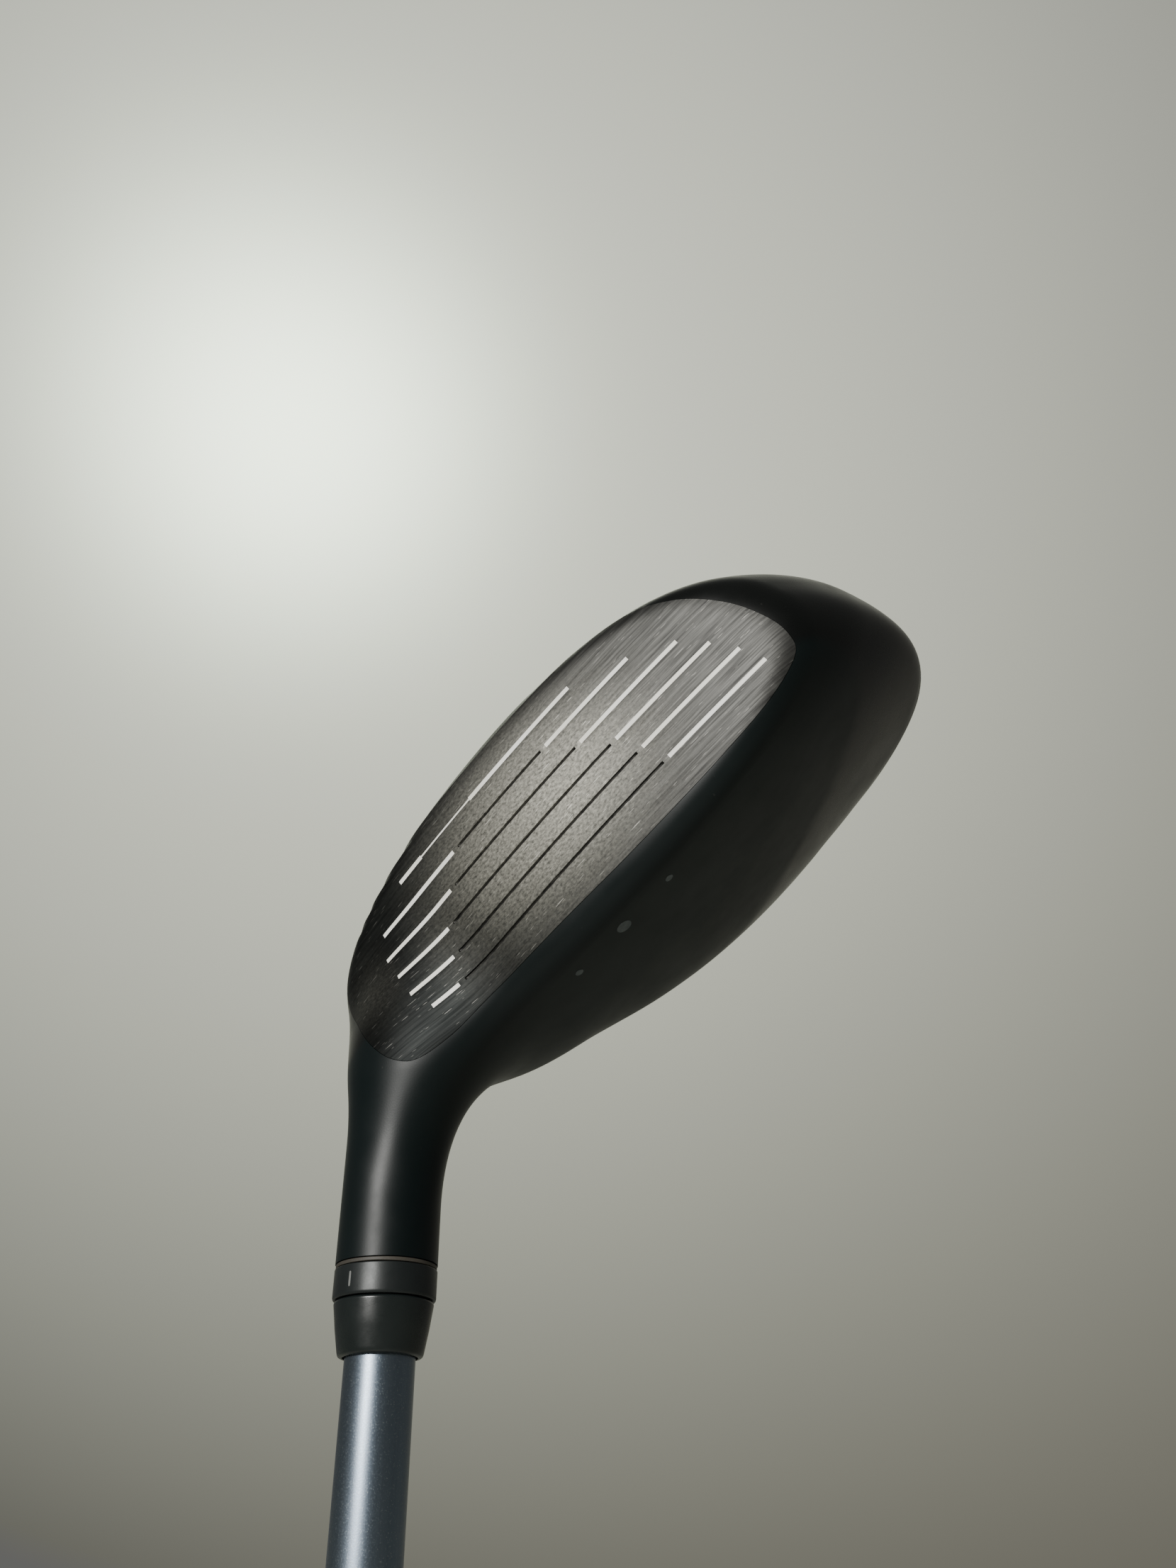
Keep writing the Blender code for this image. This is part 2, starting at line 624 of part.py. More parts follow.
def build_connector(mats):
    collar_top = -2 * STACK_GAP - SEAL_THICK
    collar_low = collar_top - COLLAR_LENGTH
    ferrule_top = collar_low - STACK_GAP
    ferrule_low = ferrule_top - FERRULE_LENGTH
    spigot_r = HOSEL_BORE_R - FIT_GAP
    shaft_bore_r = SHAFT_TIP_R + FIT_GAP
    shaft_stop = TIP_IN_SLEEVE + FIT_GAP
    tap_floor = SLEEVE_DEPTH - SLEEVE_TAP_DEPTH
    mouth = hosel_mouth()
    turned("hosel_sleeve", [
        (HOSEL_R - COLLAR_BEVEL[0], collar_low),
        (HOSEL_R, collar_low + COLLAR_BEVEL[1]),
        (HOSEL_R, collar_top),
        (spigot_r, collar_top),
        (spigot_r, SLEEVE_DEPTH - SLEEVE_CHAMFER),
        (spigot_r - SLEEVE_CHAMFER, SLEEVE_DEPTH),
        (SCREW_HOLE_R, SLEEVE_DEPTH),
        (SCREW_HOLE_R, tap_floor),
        (0.0, tap_floor),
        (0.0, shaft_stop),
        (shaft_bore_r, shaft_stop),
        (shaft_bore_r, collar_low),
    ], mats["anodised"], mouth)
    turned("seal_ring", tube(spigot_r + FIT_GAP, HOSEL_R - SEAL_INSET, -STACK_GAP - SEAL_THICK,
                             -STACK_GAP), mats["seal"], mouth)
    turned("ferrule", [
        (FERRULE_MOUTH_R - FERRULE_LIP, ferrule_low),
        (FERRULE_MOUTH_R - 0.2 * FERRULE_LIP, ferrule_low + 0.3 * FERRULE_LIP),
        (FERRULE_MOUTH_R, ferrule_low + FERRULE_LIP),
        (FERRULE_TOP_R, ferrule_top - FERRULE_BEVEL[1]),
        (FERRULE_TOP_R - FERRULE_BEVEL[0], ferrule_top),
        (shaft_bore_r, ferrule_top),
        (shaft_bore_r, ferrule_low),
    ], mats["ferrule_plastic"], mouth)
    turned("screw_washer", tube(SCREW_HOLE_R, SCREW_HEAD_R, SEAT_FACE + STACK_GAP, WASHER_FACE),
           mats["steel"], mouth, segments=TURNED_SMALL)
    screw = turned("hosel_screw", [
        (SCREW_R - SCREW_CHAMFER, SCREW_HEAD_BASE - SCREW_LENGTH),
        (SCREW_R, SCREW_HEAD_BASE - SCREW_LENGTH + SCREW_CHAMFER),
        (SCREW_R, SCREW_HEAD_BASE),
        (SCREW_HEAD_R, SCREW_HEAD_BASE),
        (SCREW_HEAD_R, SCREW_HEAD_TOP - SCREW_CHAMFER),
        (SCREW_HEAD_R - SCREW_CHAMFER, SCREW_HEAD_TOP),
        (0.0, SCREW_HEAD_TOP),
        (0.0, SCREW_HEAD_BASE - SCREW_LENGTH),
    ], mats["steel"], mouth, segments=TURNED_SMALL)
    socket_floor = SCREW_HEAD_TOP - HEX_SOCKET_DEPTH
    socket_top = SCREW_HEAD_TOP + CUT_PAST
    socket_profile = [(0.0, socket_floor), (HEX_SOCKET_R, socket_floor),
                      (HEX_SOCKET_R, socket_top), (0.0, socket_top)]
    socket = cutter(turned("hex_socket_cutter", socket_profile, None, mouth, segments=6))
    combine(screw, "DIFFERENCE", socket)
    turned("screw_retainer", tube(RETAINER_HOLE_R, SCREW_WELL_R - FIT_GAP, RETAINER_BASE,
                                  RETAINER_BASE + RETAINER_THICK), mats["steel"], mouth,
           segments=TURNED_SMALL)


# --- Head ------------------------------------------------------------------------------------
FACE_WALL = FACE_THICK + FIT_GAP + FACE_LEDGE_THICK


def cavity_distance(points):
    return body_distance(points, FACE_WALL - BODY_WALL)


def plate_cutter(name, outline, front, back):
    points, faces = disc_solid(outline, front, back)
    return cutter(mesh_object(name, points, faces, None, HEAD_FRAME))


def head_plate(name, outline, front, back, mat):
    points, faces = disc_solid(outline, front, back)
    return mesh_object(name, points, faces, mat, HEAD_FRAME)


def build_head(mats):
    points, faces = head_skin()
    body = mesh_object("head_body", points, faces, mats["head_paint"], HEAD_FRAME)
    points, faces = ball_skin(cavity_distance, CAVITY_CENTRE, -BODY_WALL, CAVITY_RINGS,
                              CAVITY_AROUND)
    cavity = cutter(mesh_object("cavity_cutter", points, faces, None, HEAD_FRAME))
    mouth = hosel_mouth()
    column_r = HOSEL_BORE_R + COLUMN_WALL
    column = [(0.0, 0.0), (column_r, 0.0), (column_r, WELL_END), (0.0, WELL_END)]
    combine(cavity, "DIFFERENCE", cutter(turned("bore_wall_guide", column, None, mouth)))
    bore = cutter(turned("hosel_bore_cutter", [
        (0.0, -CUT_PAST), (HOSEL_BORE_R, -CUT_PAST),
        (HOSEL_BORE_R, BORE_FLOOR), (SCREW_HOLE_R, BORE_FLOOR),
        (SCREW_HOLE_R, SEAT_FACE), (SCREW_WELL_R, SEAT_FACE),
        (SCREW_WELL_R, WELL_END), (0.0, WELL_END),
    ], None, mouth))

    face = smooth_outline(FACE_OUTLINE_MM, DISC_AROUND) * MM
    face_pocket = plate_cutter("face_pocket_cutter", grown(face, FIT_GAP), on_face(-CUT_CLEAR),
                               on_face(FACE_THICK + FIT_GAP))
    face_window = plate_cutter("face_window_cutter", grown(face, -FACE_LEDGE_WIDTH),
                               on_face(FACE_THICK / 2), on_face(FACE_WALL + CUT_PAST))
    head_plate("face_plate", face, on_face(0.0), on_face(FACE_THICK), mats["face_steel"])
    pad_front = FACE_THICK + FIT_GAP
    head_plate("damping_pad", oval(PAD_CENTRE, PAD_HALF, DISC_AROUND_SMALL), on_face(pad_front),
               on_face(pad_front + PAD_THICK), mats["foam"])

    crown = oval(CROWN_CENTRE, CROWN_HALF)
    crown_recess = plate_cutter("crown_recess_cutter", grown(crown, FIT_GAP),
                                beyond(under_crown(0.0), CUT_CLEAR * UP),
                                under_crown(CROWN_THICK + FIT_GAP))
    crown_window = plate_cutter("crown_window_cutter", grown(crown, -CROWN_LEDGE_WIDTH),
                                under_crown(CROWN_THICK / 2), under_crown(BODY_WALL + CUT_PAST))
    head_plate("crown_plate", crown, under_crown(0.0), under_crown(CROWN_THICK), mats["head_paint"])

    sole = oval(SOLE_CENTRE, SOLE_HALF)
    sole_recess = plate_cutter("sole_recess_cutter", grown(sole, FIT_GAP),
                               beyond(under_sole(0.0), -CUT_CLEAR * UP),
                               under_sole(SOLE_PLATE_THICK + FIT_GAP))
    head_plate("sole_plate", sole, under_sole(0.0), under_sole(SOLE_PLATE_THICK),
               mats["steel"])
    slug_low = BODY_WALL + FIT_GAP
    head_plate("tungsten_slug", oval(SLUG_CENTRE, SLUG_HALF, DISC_AROUND_SMALL),
               under_sole(slug_low), under_sole(slug_low + SLUG_HEIGHT), mats["tungsten"])
    combine(body, "DIFFERENCE", cavity, bore, face_pocket, face_window, crown_recess,
            crown_window, sole_recess)


def build_club():
    clear_scene()
    mats = {
        "rubber": material("rubber", (0.03, 0.03, 0.03), 0.8, 0.0),
        "cap_plastic": material("cap_plastic", (0.02, 0.02, 0.02), 0.5, 0.0),
        "tape": material("tape", (0.75, 0.7, 0.6), 0.9, 0.0),
        "foam": material("foam", (0.3, 0.3, 0.3), 0.9, 0.0),
        "shaft_paint": material("shaft_paint", (0.42, 0.46, 0.5), 0.35, 0.9),
        "brass": material("brass", (0.7, 0.5, 0.25), 0.4, 1.0),
        "anodised": material("anodised", (0.03, 0.03, 0.03), 0.45, 0.6),
        "seal": material("seal", (0.3, 0.28, 0.25), 0.6, 0.0),
        "ferrule_plastic": material("ferrule_plastic", (0.02, 0.02, 0.02), 0.3, 0.0),
        "steel": material("steel", (0.55, 0.54, 0.52), 0.35, 1.0),
        "tungsten": material("tungsten", (0.3, 0.3, 0.31), 0.4, 1.0),
        "head_paint": material("head_paint", (0.025, 0.025, 0.028), 0.4, 0.0),
        "face_steel": material("face_steel", (0.5, 0.49, 0.47), 0.35, 1.0),
    }
    build_grip(mats)
    build_shaft(mats)
    build_connector(mats)
    build_head(mats)


build_club()
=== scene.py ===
"""The looks of the hybrid golf club: fine surfaces, materials, light and camera.

Distances are metres unless a name ends in _MM. The head's surface follows the same shape
rules as the CAD head, sampled more finely.
"""

import math

import bmesh
import bpy
import numpy as np
from mathutils import Matrix, Vector


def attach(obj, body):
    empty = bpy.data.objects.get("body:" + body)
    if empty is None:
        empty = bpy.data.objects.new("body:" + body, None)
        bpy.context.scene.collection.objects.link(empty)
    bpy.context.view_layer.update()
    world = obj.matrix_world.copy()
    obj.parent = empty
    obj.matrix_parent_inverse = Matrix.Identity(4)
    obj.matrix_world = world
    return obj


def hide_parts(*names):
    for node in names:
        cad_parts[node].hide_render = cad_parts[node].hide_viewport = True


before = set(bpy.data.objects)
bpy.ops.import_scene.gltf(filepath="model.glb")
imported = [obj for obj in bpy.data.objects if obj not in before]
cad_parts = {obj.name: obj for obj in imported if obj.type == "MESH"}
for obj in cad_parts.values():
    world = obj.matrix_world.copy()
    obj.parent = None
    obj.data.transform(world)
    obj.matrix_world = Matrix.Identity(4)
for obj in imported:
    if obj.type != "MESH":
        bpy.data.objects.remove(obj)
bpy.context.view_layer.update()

MM = 0.001
HEAD = "head"
SHAFT = "shaft_assembly"


# --- Frames ---
LIE = math.radians(60.0)
LOFT = math.radians(20.5)
MOUTH_Z = 945 * MM              # the hosel's mouth, on the shaft's axis
TOE = np.array((1.0, 0.0, 0.0))
TARGET = np.array((0.0, 1.0, 0.0))
UP = np.array((0.0, 0.0, 1.0))
HOSEL_AXIS = np.array((math.cos(LIE), 0.0, -math.sin(LIE)))
FACE_NORMAL = np.array((0.0, math.cos(LOFT), math.sin(LOFT)))
FACE_UP = np.array((0.0, -math.sin(LOFT), math.cos(LOFT)))
TO_ROW = np.array((
    (math.sin(LIE), 0.0, math.cos(LIE)),
    (0.0, -1.0, 0.0),
    (math.cos(LIE), 0.0, -math.sin(LIE)),
))


def to_row(points):
    """Points in the head's address frame, placed in the row frame."""
    return np.asarray(points) @ TO_ROW.T + np.array((0.0, 0.0, MOUTH_Z))


def to_head(points):
    return (np.asarray(points) - np.array((0.0, 0.0, MOUTH_Z))) @ TO_ROW


# --- The head's shape, the CAD head's rules ---
PLAN_CENTRE = (54 * MM, -16 * MM)
PLAN_RADII_MM = (57, 48, 39.5, 36.5, 40.5, 46.5, 46.5, 34, 32, 36.5, 47, 62)
SKIRT_Z = (-38.8 * MM, 0.03, 0.12)
CROWN_RISE = (19.5 * MM, -0.05, 0.17)
CROWN_TWIST = 4.6 / (1000 * MM)
SOLE_DROP = (11.9 * MM, 0.075, 0.17)
PLAN_POWER = 2.6
RISE_POWER = 2.6
FACE_CENTRE = np.array((54 * MM, 6.3 * MM, -33.4 * MM))
FACE_BULGE_R = 290 * MM
FACE_ROLL_R = 290 * MM
FACE_EDGE_R = 3.2 * MM
HOSEL_R = 7.0 * MM
HOSEL_BLEND = (12.5 * MM, 9.3 * MM)
HOSEL_FADE_FROM = 32 * MM
HOSEL_FADE_OVER = 15 * MM
HOSEL_FADE = 0.78


def curve_between(before, one, two, after, part):
    """A smooth curve from one to two."""
    return 0.5 * (
        2 * one
        + (two - before) * part
        + (2 * before - 5 * one + 4 * two - after) * part**2
        + (3 * one - before - 3 * two + after) * part**3
    )


def plan_radius(angle):
    radii = np.array(PLAN_RADII_MM) * MM
    count = len(radii)
    place = (angle / (2 * math.pi) * count) % count
    left = np.floor(place).astype(int) % count
    part = place - np.floor(place)
    return curve_between(*(radii[(left + k) % count] for k in (-1, 0, 1, 2)), part)


def sloped(values, x, y):
    level, along_x, along_y = values
    return level + along_x * x + along_y * y


def dome_level(points):
    x = points[..., 0] - PLAN_CENTRE[0]
    y = points[..., 1] - PLAN_CENTRE[1]
    reach = np.hypot(x, y) / plan_radius(np.arctan2(y, x))
    rise = points[..., 2] - sloped(SKIRT_Z, x, y)
    crown = sloped(CROWN_RISE, x, y) + CROWN_TWIST * x * y
    full = np.where(rise > 0, crown, sloped(SOLE_DROP, x, y))
    height = np.abs(rise) / np.maximum(full, 3 * MM)
    total = reach**PLAN_POWER + height**RISE_POWER
    return total ** (2 / (PLAN_POWER + RISE_POWER)) - 1


def gradient(level, points, step=0.05 * MM):
    return np.stack([
        (level(points + step * axis) - level(points - step * axis)) / (2 * step)
        for axis in (TOE, TARGET, UP)
    ], axis=-1)


def dome_distance(points):
    steepness = np.linalg.norm(gradient(dome_level, points), axis=-1)
    return dome_level(points) / np.maximum(steepness, 10.0)


def face_distance(points):
    offset = points - FACE_CENTRE
    bulge = (offset @ TOE) ** 2 / (2 * FACE_BULGE_R)
    roll = (offset @ FACE_UP) ** 2 / (2 * FACE_ROLL_R)
    return offset @ FACE_NORMAL + bulge + roll


def soft_min(one, two, blend):
    share = np.maximum(blend - np.abs(one - two), 0) / blend
    return np.minimum(one, two) - share**2 * blend / 4


def eased(past):
    """0 before a bend, a straight slope after it, and a smooth curve between."""
    half = HOSEL_FADE_OVER / 2
    curve = (np.clip(past, -half, half) + half) ** 2 / (4 * half)
    return curve + np.clip(past - half, 0, None)


def head_distance(points):
    depth = points @ HOSEL_AXIS
    away = points - depth[..., None] * HOSEL_AXIS
    radius = np.linalg.norm(away, axis=-1)
    tube_r = HOSEL_R - HOSEL_FADE * eased(depth - HOSEL_FADE_FROM)
    toe_side = away @ np.cross(HOSEL_AXIS, TARGET) / np.maximum(radius, 1e-6)
    blend = HOSEL_BLEND[0] + HOSEL_BLEND[1] * (0.5 + 0.5 * toe_side) ** 2
    body = -soft_min(-dome_distance(points), -face_distance(points), FACE_EDGE_R)
    return soft_min(body, radius - tube_r, blend)


def reach_surface(starts, directions, level=0.0):
    """Walks out along each ray, from inside, to where the head's distance has the level."""
    travel = np.zeros(len(starts))
    for _ in range(60):
        gap = level - head_distance(starts + travel[:, None] * directions)
        travel += 0.9 * np.clip(gap, -2 * MM, 4 * MM)
    return starts + travel[:, None] * directions


def head_normals(points):
    """Outward directions of the head's surface, in the head's frame."""
    slope = gradient(head_distance, points, 0.1 * MM)
    return slope / np.linalg.norm(slope, axis=-1)[..., None]


# --- Mesh helpers ---
def piece(name, points, faces, mat, body, sharp_deg=35):
    mesh = bpy.data.meshes.new(name)
    mesh.from_pydata([tuple(p) for p in points], [], faces)
    mesh.validate()
    thing = bpy.data.objects.new(name, mesh)
    bpy.context.scene.collection.objects.link(thing)
    bm = bmesh.new()
    bm.from_mesh(mesh)
    bmesh.ops.recalc_face_normals(bm, faces=bm.faces)
    bm.to_mesh(mesh)
    bm.free()
    smooth(mesh, sharp_deg)
    for one in (mat if isinstance(mat, list) else [mat]):
        if one is not None:
            mesh.materials.append(one)
    if body is not None:
        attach(thing, body)
    return thing


def smooth(mesh, sharp_deg):
    mesh.shade_smooth()
    mesh.set_sharp_from_angle(angle=math.radians(sharp_deg))


def read_values(collection, name, width=3):
    """One vector a row, read from a mesh's vertices, normals or polygons."""
    values = np.empty(len(collection) * width)
    collection.foreach_get(name, values)
    return values.reshape(-1, width)


def loop_vertices(mesh):
    index = np.empty(len(mesh.loops), dtype=int)
    mesh.loops.foreach_get("vertex_index", index)
    return index


def add_share(mesh, name, values):
    """Stores a value from 0 to 1 at each vertex, for the materials."""
    mesh.attributes.new(name, "FLOAT", "POINT").data.foreach_set("value", values)


def ramp(values, start, end):
    """0 at the start, 1 at the end and a straight run between."""
    return np.clip((values - start) / (end - start), 0, 1)


def circle_angles(count):
    return np.arange(count) * 2 * math.pi / count


def cut(thing, operation, *tools):
    """Applies Booleans to a piece and removes the tools."""
    for tool in tools:
        step = thing.modifiers.new("cut", "BOOLEAN")
        step.operation = operation
        step.solver = "EXACT"
        step.object = tool
        graph = bpy.context.evaluated_depsgraph_get()
        result = bpy.data.meshes.new_from_object(thing.evaluated_get(graph))
        thing.modifiers.clear()
        thing.data = result
        bpy.data.objects.remove(tool)
    return thing


SAME_WAY = 0.75                 # least cosine between a polygon's normal and the head's own


def follow_head(thing, tolerance=0.02 * MM):
    """Normals straight from the head's shape, wherever a piece lies on its surface."""
    mesh = thing.data
    points = to_head(read_values(mesh.vertices, "co"))
    on_surface = np.abs(head_distance(points)) < tolerance
    normals = head_normals(points) @ TO_ROW.T
    loop_vertex = loop_vertices(mesh)
    corner = read_values(mesh.corner_normals, "vector")
    face_of_loop = np.empty(len(mesh.loops), dtype=int)
    for polygon in mesh.polygons:
        face_of_loop[polygon.loop_start:polygon.loop_start + polygon.loop_total] = polygon.index
    flat = read_values(mesh.polygon_normals, "vector")[face_of_loop]
    wanted = normals[loop_vertex]
    use = on_surface[loop_vertex] & (np.einsum("ij,ij->i", wanted, flat) > SAME_WAY)
    corner[use] = wanted[use]
    mesh.normals_split_custom_set([tuple(v) for v in corner])


def rim(around, first, second):
    """The band between two rings of points."""
    return [(first + (k + 1) % around, first + k, second + k, second + (k + 1) % around)
            for k in range(around)]


def fan(first, around, tip):
    """Triangles from a ring of points to its tip."""
    return [(first + k, first + (k + 1) % around, tip) for k in range(around)]


def skin_faces(rings, around):
    return [
        (r * around + k, r * around + (k + 1) % around,
         (r + 1) * around + (k + 1) % around, (r + 1) * around + k)
        for r in range(rings - 1)
        for k in range(around)
    ]


def rounded(profile, radius, steps=4):
    """A closed profile of (radius, height) with its corners rounded off."""
    corners = [Vector(p) for p in profile]
    total = len(corners)
    result = []
    for k, corner in enumerate(corners):
        before = corners[k - 1] - corner
        after = corners[(k + 1) % total] - corner
        if corner.x == 0 or min(before.length, after.length) < 1e-6:
            result.append(tuple(corner))
            continue
        cut_back = min(radius, 0.45 * before.length, 0.45 * after.length)
        start = corner + before.normalized() * cut_back
        end = corner + after.normalized() * cut_back
        for step in range(steps + 1):
            share = step / steps
            one = start.lerp(corner, share)
            two = corner.lerp(end, share)
            result.append(tuple(one.lerp(two, share)))
    return result


def lathe(name, profile, mat, body, replaced=(), segments=96, base=0.0, sharp_deg=30, sides=None):
    """A closed profile turned about the shaft's axis, heights counted from base."""
    points = []
    rings = []
    for radius, height in profile:
        if radius == 0:
            rings.append([len(points)] * segments)
            points.append((0.0, 0.0, height + base))
            continue
        rings.append(list(range(len(points), len(points) + segments)))
        for k in range(segments):
            angle = 2 * math.pi * k / segments
            points.append((radius * math.cos(angle), radius * math.sin(angle), height + base))
    faces = []
    for one, two in zip(rings, rings[1:] + rings[:1]):
        for k in range(segments):
            corners = [one[k], one[(k + 1) % segments], two[(k + 1) % segments], two[k]]
            unique = list(dict.fromkeys(corners))
            if len(unique) > 2:
                faces.append(unique)
    thing = piece(name, points, faces, mat, body, sharp_deg)
    if replaced:
        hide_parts(*replaced)
    return thing


MIX_INPUTS = (0, 6, 7)          # a colour mix's share and its two colours
MIX_RESULT = 2


# --- Material helpers ---
class Nodes:
    """Short calls for the nodes that the materials and the world are made of."""

    def __init__(self, owner):
        owner.use_nodes = True
        self.tree = owner.node_tree

    def node(self, kind, **values):
        made = self.tree.nodes.new(kind)
        for key, value in values.items():
            if hasattr(made, key):
                setattr(made, key, value)
            else:
                made.inputs[key.replace("_", " ")].default_value = value
        return made

    def link(self, output, target):
        self.tree.links.new(output, target)

    def feed(self, sockets, values):
        """Gives each socket its value, or a link where the value is another node's output."""
        for socket, value in zip(sockets, values):
            if isinstance(value, bpy.types.NodeSocket):
                self.link(value, socket)
            else:
                socket.default_value = value

    def math(self, operation, *values):
        made = self.node("ShaderNodeMath", operation=operation)
        self.feed(made.inputs, values)
        return made.outputs["Value"]

    def vector_math(self, operation, *values):
        made = self.node("ShaderNodeVectorMath", operation=operation)
        self.feed(made.inputs, values)
        return made.outputs["Value" if operation == "DOT_PRODUCT" else "Vector"]

    def scaled(self, vector, amount):
        made = self.node("ShaderNodeVectorMath", operation="SCALE")
        self.feed((made.inputs[0], made.inputs["Scale"]), (vector, amount))
        return made.outputs["Vector"]

    def remap(self, value, low, high, to_low=0.0, to_high=1.0, kind="LINEAR"):
        made = self.node("ShaderNodeMapRange", interpolation_type=kind)
        names = ("Value", "From Min", "From Max", "To Min", "To Max")
        self.feed([made.inputs[name] for name in names], (value, low, high, to_low, to_high))
        return made.outputs["Result"]


class Paint(Nodes):
    """A Principled material."""

    def __init__(self, name, colour, roughness, metallic=0.0, **sockets):
        self.mat = bpy.data.materials.new(name)
        super().__init__(self.mat)
        self.shader = self.tree.nodes["Principled BSDF"]
        sockets |= {"Base_Color": (*colour, 1.0), "Roughness": roughness, "Metallic": metallic}
        for socket, value in sockets.items():
            self.shader.inputs[socket.replace("_", " ")].default_value = value

    def place(self, scale=(1, 1, 1), turn=(0, 0, 0), uv=False):
        coords = self.node("ShaderNodeTexCoord")
        mapping = self.node("ShaderNodeMapping")
        mapping.inputs["Scale"].default_value = scale
        mapping.inputs["Rotation"].default_value = turn
        self.link(coords.outputs["UV" if uv else "Object"], mapping.inputs["Vector"])
        return mapping.outputs["Vector"]

    def noise(self, scale, detail=3.0, rough=0.5, at=None):
        made = self.node("ShaderNodeTexNoise", Scale=scale, Detail=detail, Roughness=rough)
        self.link(at if at is not None else self.place(), made.inputs["Vector"])
        return made.outputs["Fac"]

    def mix(self, share, one, two):
        """Mixes two colours, given as tuples or as outputs."""
        made = self.node("ShaderNodeMix", data_type="RGBA")
        colours = [(*c, 1.0) if isinstance(c, tuple) else c for c in (one, two)]
        self.feed([made.inputs[k] for k in MIX_INPUTS], (share, *colours))
        return made.outputs[MIX_RESULT]

    def mottle(self, noise, dark, light):
        """Two colours that follow a noise."""
        return self.mix(self.remap(noise, 0.3, 0.7), dark, light)

    def attribute(self, name):
        return self.node("ShaderNodeAttribute", attribute_name=name).outputs["Fac"]

    def bump(self, height, strength, distance):
        made = self.node("ShaderNodeBump", Strength=strength, Distance=distance)
        self.link(height, made.inputs["Height"])
        self.link(made.outputs["Normal"], self.shader.inputs["Normal"])

    def colour(self, output):
        self.link(output, self.shader.inputs["Base Color"])

    def roughness(self, output):
        self.link(output, self.shader.inputs["Roughness"])


# --- Materials ---
def head_paint():
    """Satin blue-black paint with a glossier skirt and fine dust."""
    look = Paint("head_paint", (0.003, 0.005, 0.005), 0.38, Specular_IOR_Level=0.28)
    skirt = look.attribute("skirt")
    cloud = look.noise(60, 4)
    base = look.mottle(cloud, (0.0012, 0.0038, 0.0042), (0.0024, 0.0058, 0.0062))
    base = look.mix(skirt, base, (0.003, 0.0036, 0.0034))
    dust = look.remap(look.noise(1400, 2, 0.6), 0.73, 0.80, 0.0, 0.12)
    base = look.mix(dust, base, (0.12, 0.12, 0.11))
    look.colour(base)
    blotch = look.remap(look.noise(110, 5, 0.6), 0.3, 0.75, 0.36, 0.47)
    gloss = look.math("MULTIPLY", skirt, -0.13)
    look.roughness(look.math("ADD", blotch, gloss))
    fine = look.noise(5200, 3)
    look.bump(fine, 0.05, 0.0001)
    return look.mat


def face_steel():
    """Milled steel with lines along the grooves and a worn, cross-scratched centre, with painted
    light and shade: the centre drawn bright, the heel dark and the toe lighter.
    """
    look = Paint("face_steel", (0.14, 0.14, 0.13), 0.5, 1.0)
    # worn: real wear of the centre, which also carries a painted highlight there
    worn = look.attribute("worn")
    # toe_side: painted shade and light, the steel dark at the heel and lighter towards the toe
    toe_side = look.attribute("toe_side")
    lines = look.noise(1.0, 5, 0.65, look.place((70, 2300, 70), uv=True))
    coarse = look.noise(1.0, 4, 0.6, look.place((150, 5200, 150), uv=True))
    grain = look.noise(1.0, 5, 0.75, look.place((1500, 2600, 1500), uv=True))
    shaded_heel_tone = look.mottle(lines, (0.008, 0.009, 0.009), (0.036, 0.038, 0.037))
    lit_toe_tone = look.mottle(lines, (0.022, 0.022, 0.0215), (0.082, 0.082, 0.078))
    tone = look.mix(toe_side, shaded_heel_tone, lit_toe_tone)
    # the worn centre's tone runs up to near white: partly wear, partly a painted highlight
    worn_highlight_tone = look.mottle(grain, (0.05, 0.0495, 0.046), (0.62, 0.605, 0.53))
    tone = look.mix(look.math("MULTIPLY", worn, 0.75), tone, worn_highlight_tone)
    # painted shade: darkens the steel high at the heel
    tone = look.mix(look.attribute("shade"), tone, (0.008, 0.009, 0.009))
    scratches = None
    for turn, threshold in ((0.55, 0.70), (-0.5, 0.705), (1.25, 0.72), (-1.1, 0.72)):
        streak = look.noise(1.0, 2, 0.5, look.place((260, 4400, 260), (0, 0, turn), uv=True))
        thin = look.remap(streak, threshold, threshold + 0.03)
        scratches = thin if scratches is None else look.math("MAXIMUM", scratches, thin)
    marks = look.math("MULTIPLY", scratches, look.remap(worn, 0.0, 1.0, 0.14, 0.8))
    tone = look.mix(marks, tone, (0.86, 0.84, 0.78))
    look.colour(tone)
    rough = look.remap(coarse, 0.3, 0.7, 0.46, 0.56)
    look.roughness(look.math("SUBTRACT", rough, look.math("MULTIPLY", worn, 0.04)))
    ground = look.math("MULTIPLY", coarse, 0.6)
    ground = look.math("ADD", ground, look.math("MULTIPLY", grain, 0.35))
    height = look.math("SUBTRACT", ground, look.math("MULTIPLY", marks, 0.5))
    look.bump(height, 0.35, 0.00006)
    return look.mat


def groove_white():
    """White filler in the grooves, a little yellowed, with chips along its edges."""
    look = Paint("groove_white", (0.88, 0.875, 0.84), 0.45)
    chips = look.remap(look.noise(2600, 4, 0.7), 0.70, 0.73)
    tint = look.remap(look.noise(120, 2), 0.35, 0.7)
    look.colour(look.mix(chips, look.mix(tint, (0.92, 0.92, 0.89), (0.84, 0.82, 0.74)),
                         (0.10, 0.095, 0.085)))
    look.bump(look.noise(3000, 3), 0.3, 0.00005)
    return look.mat


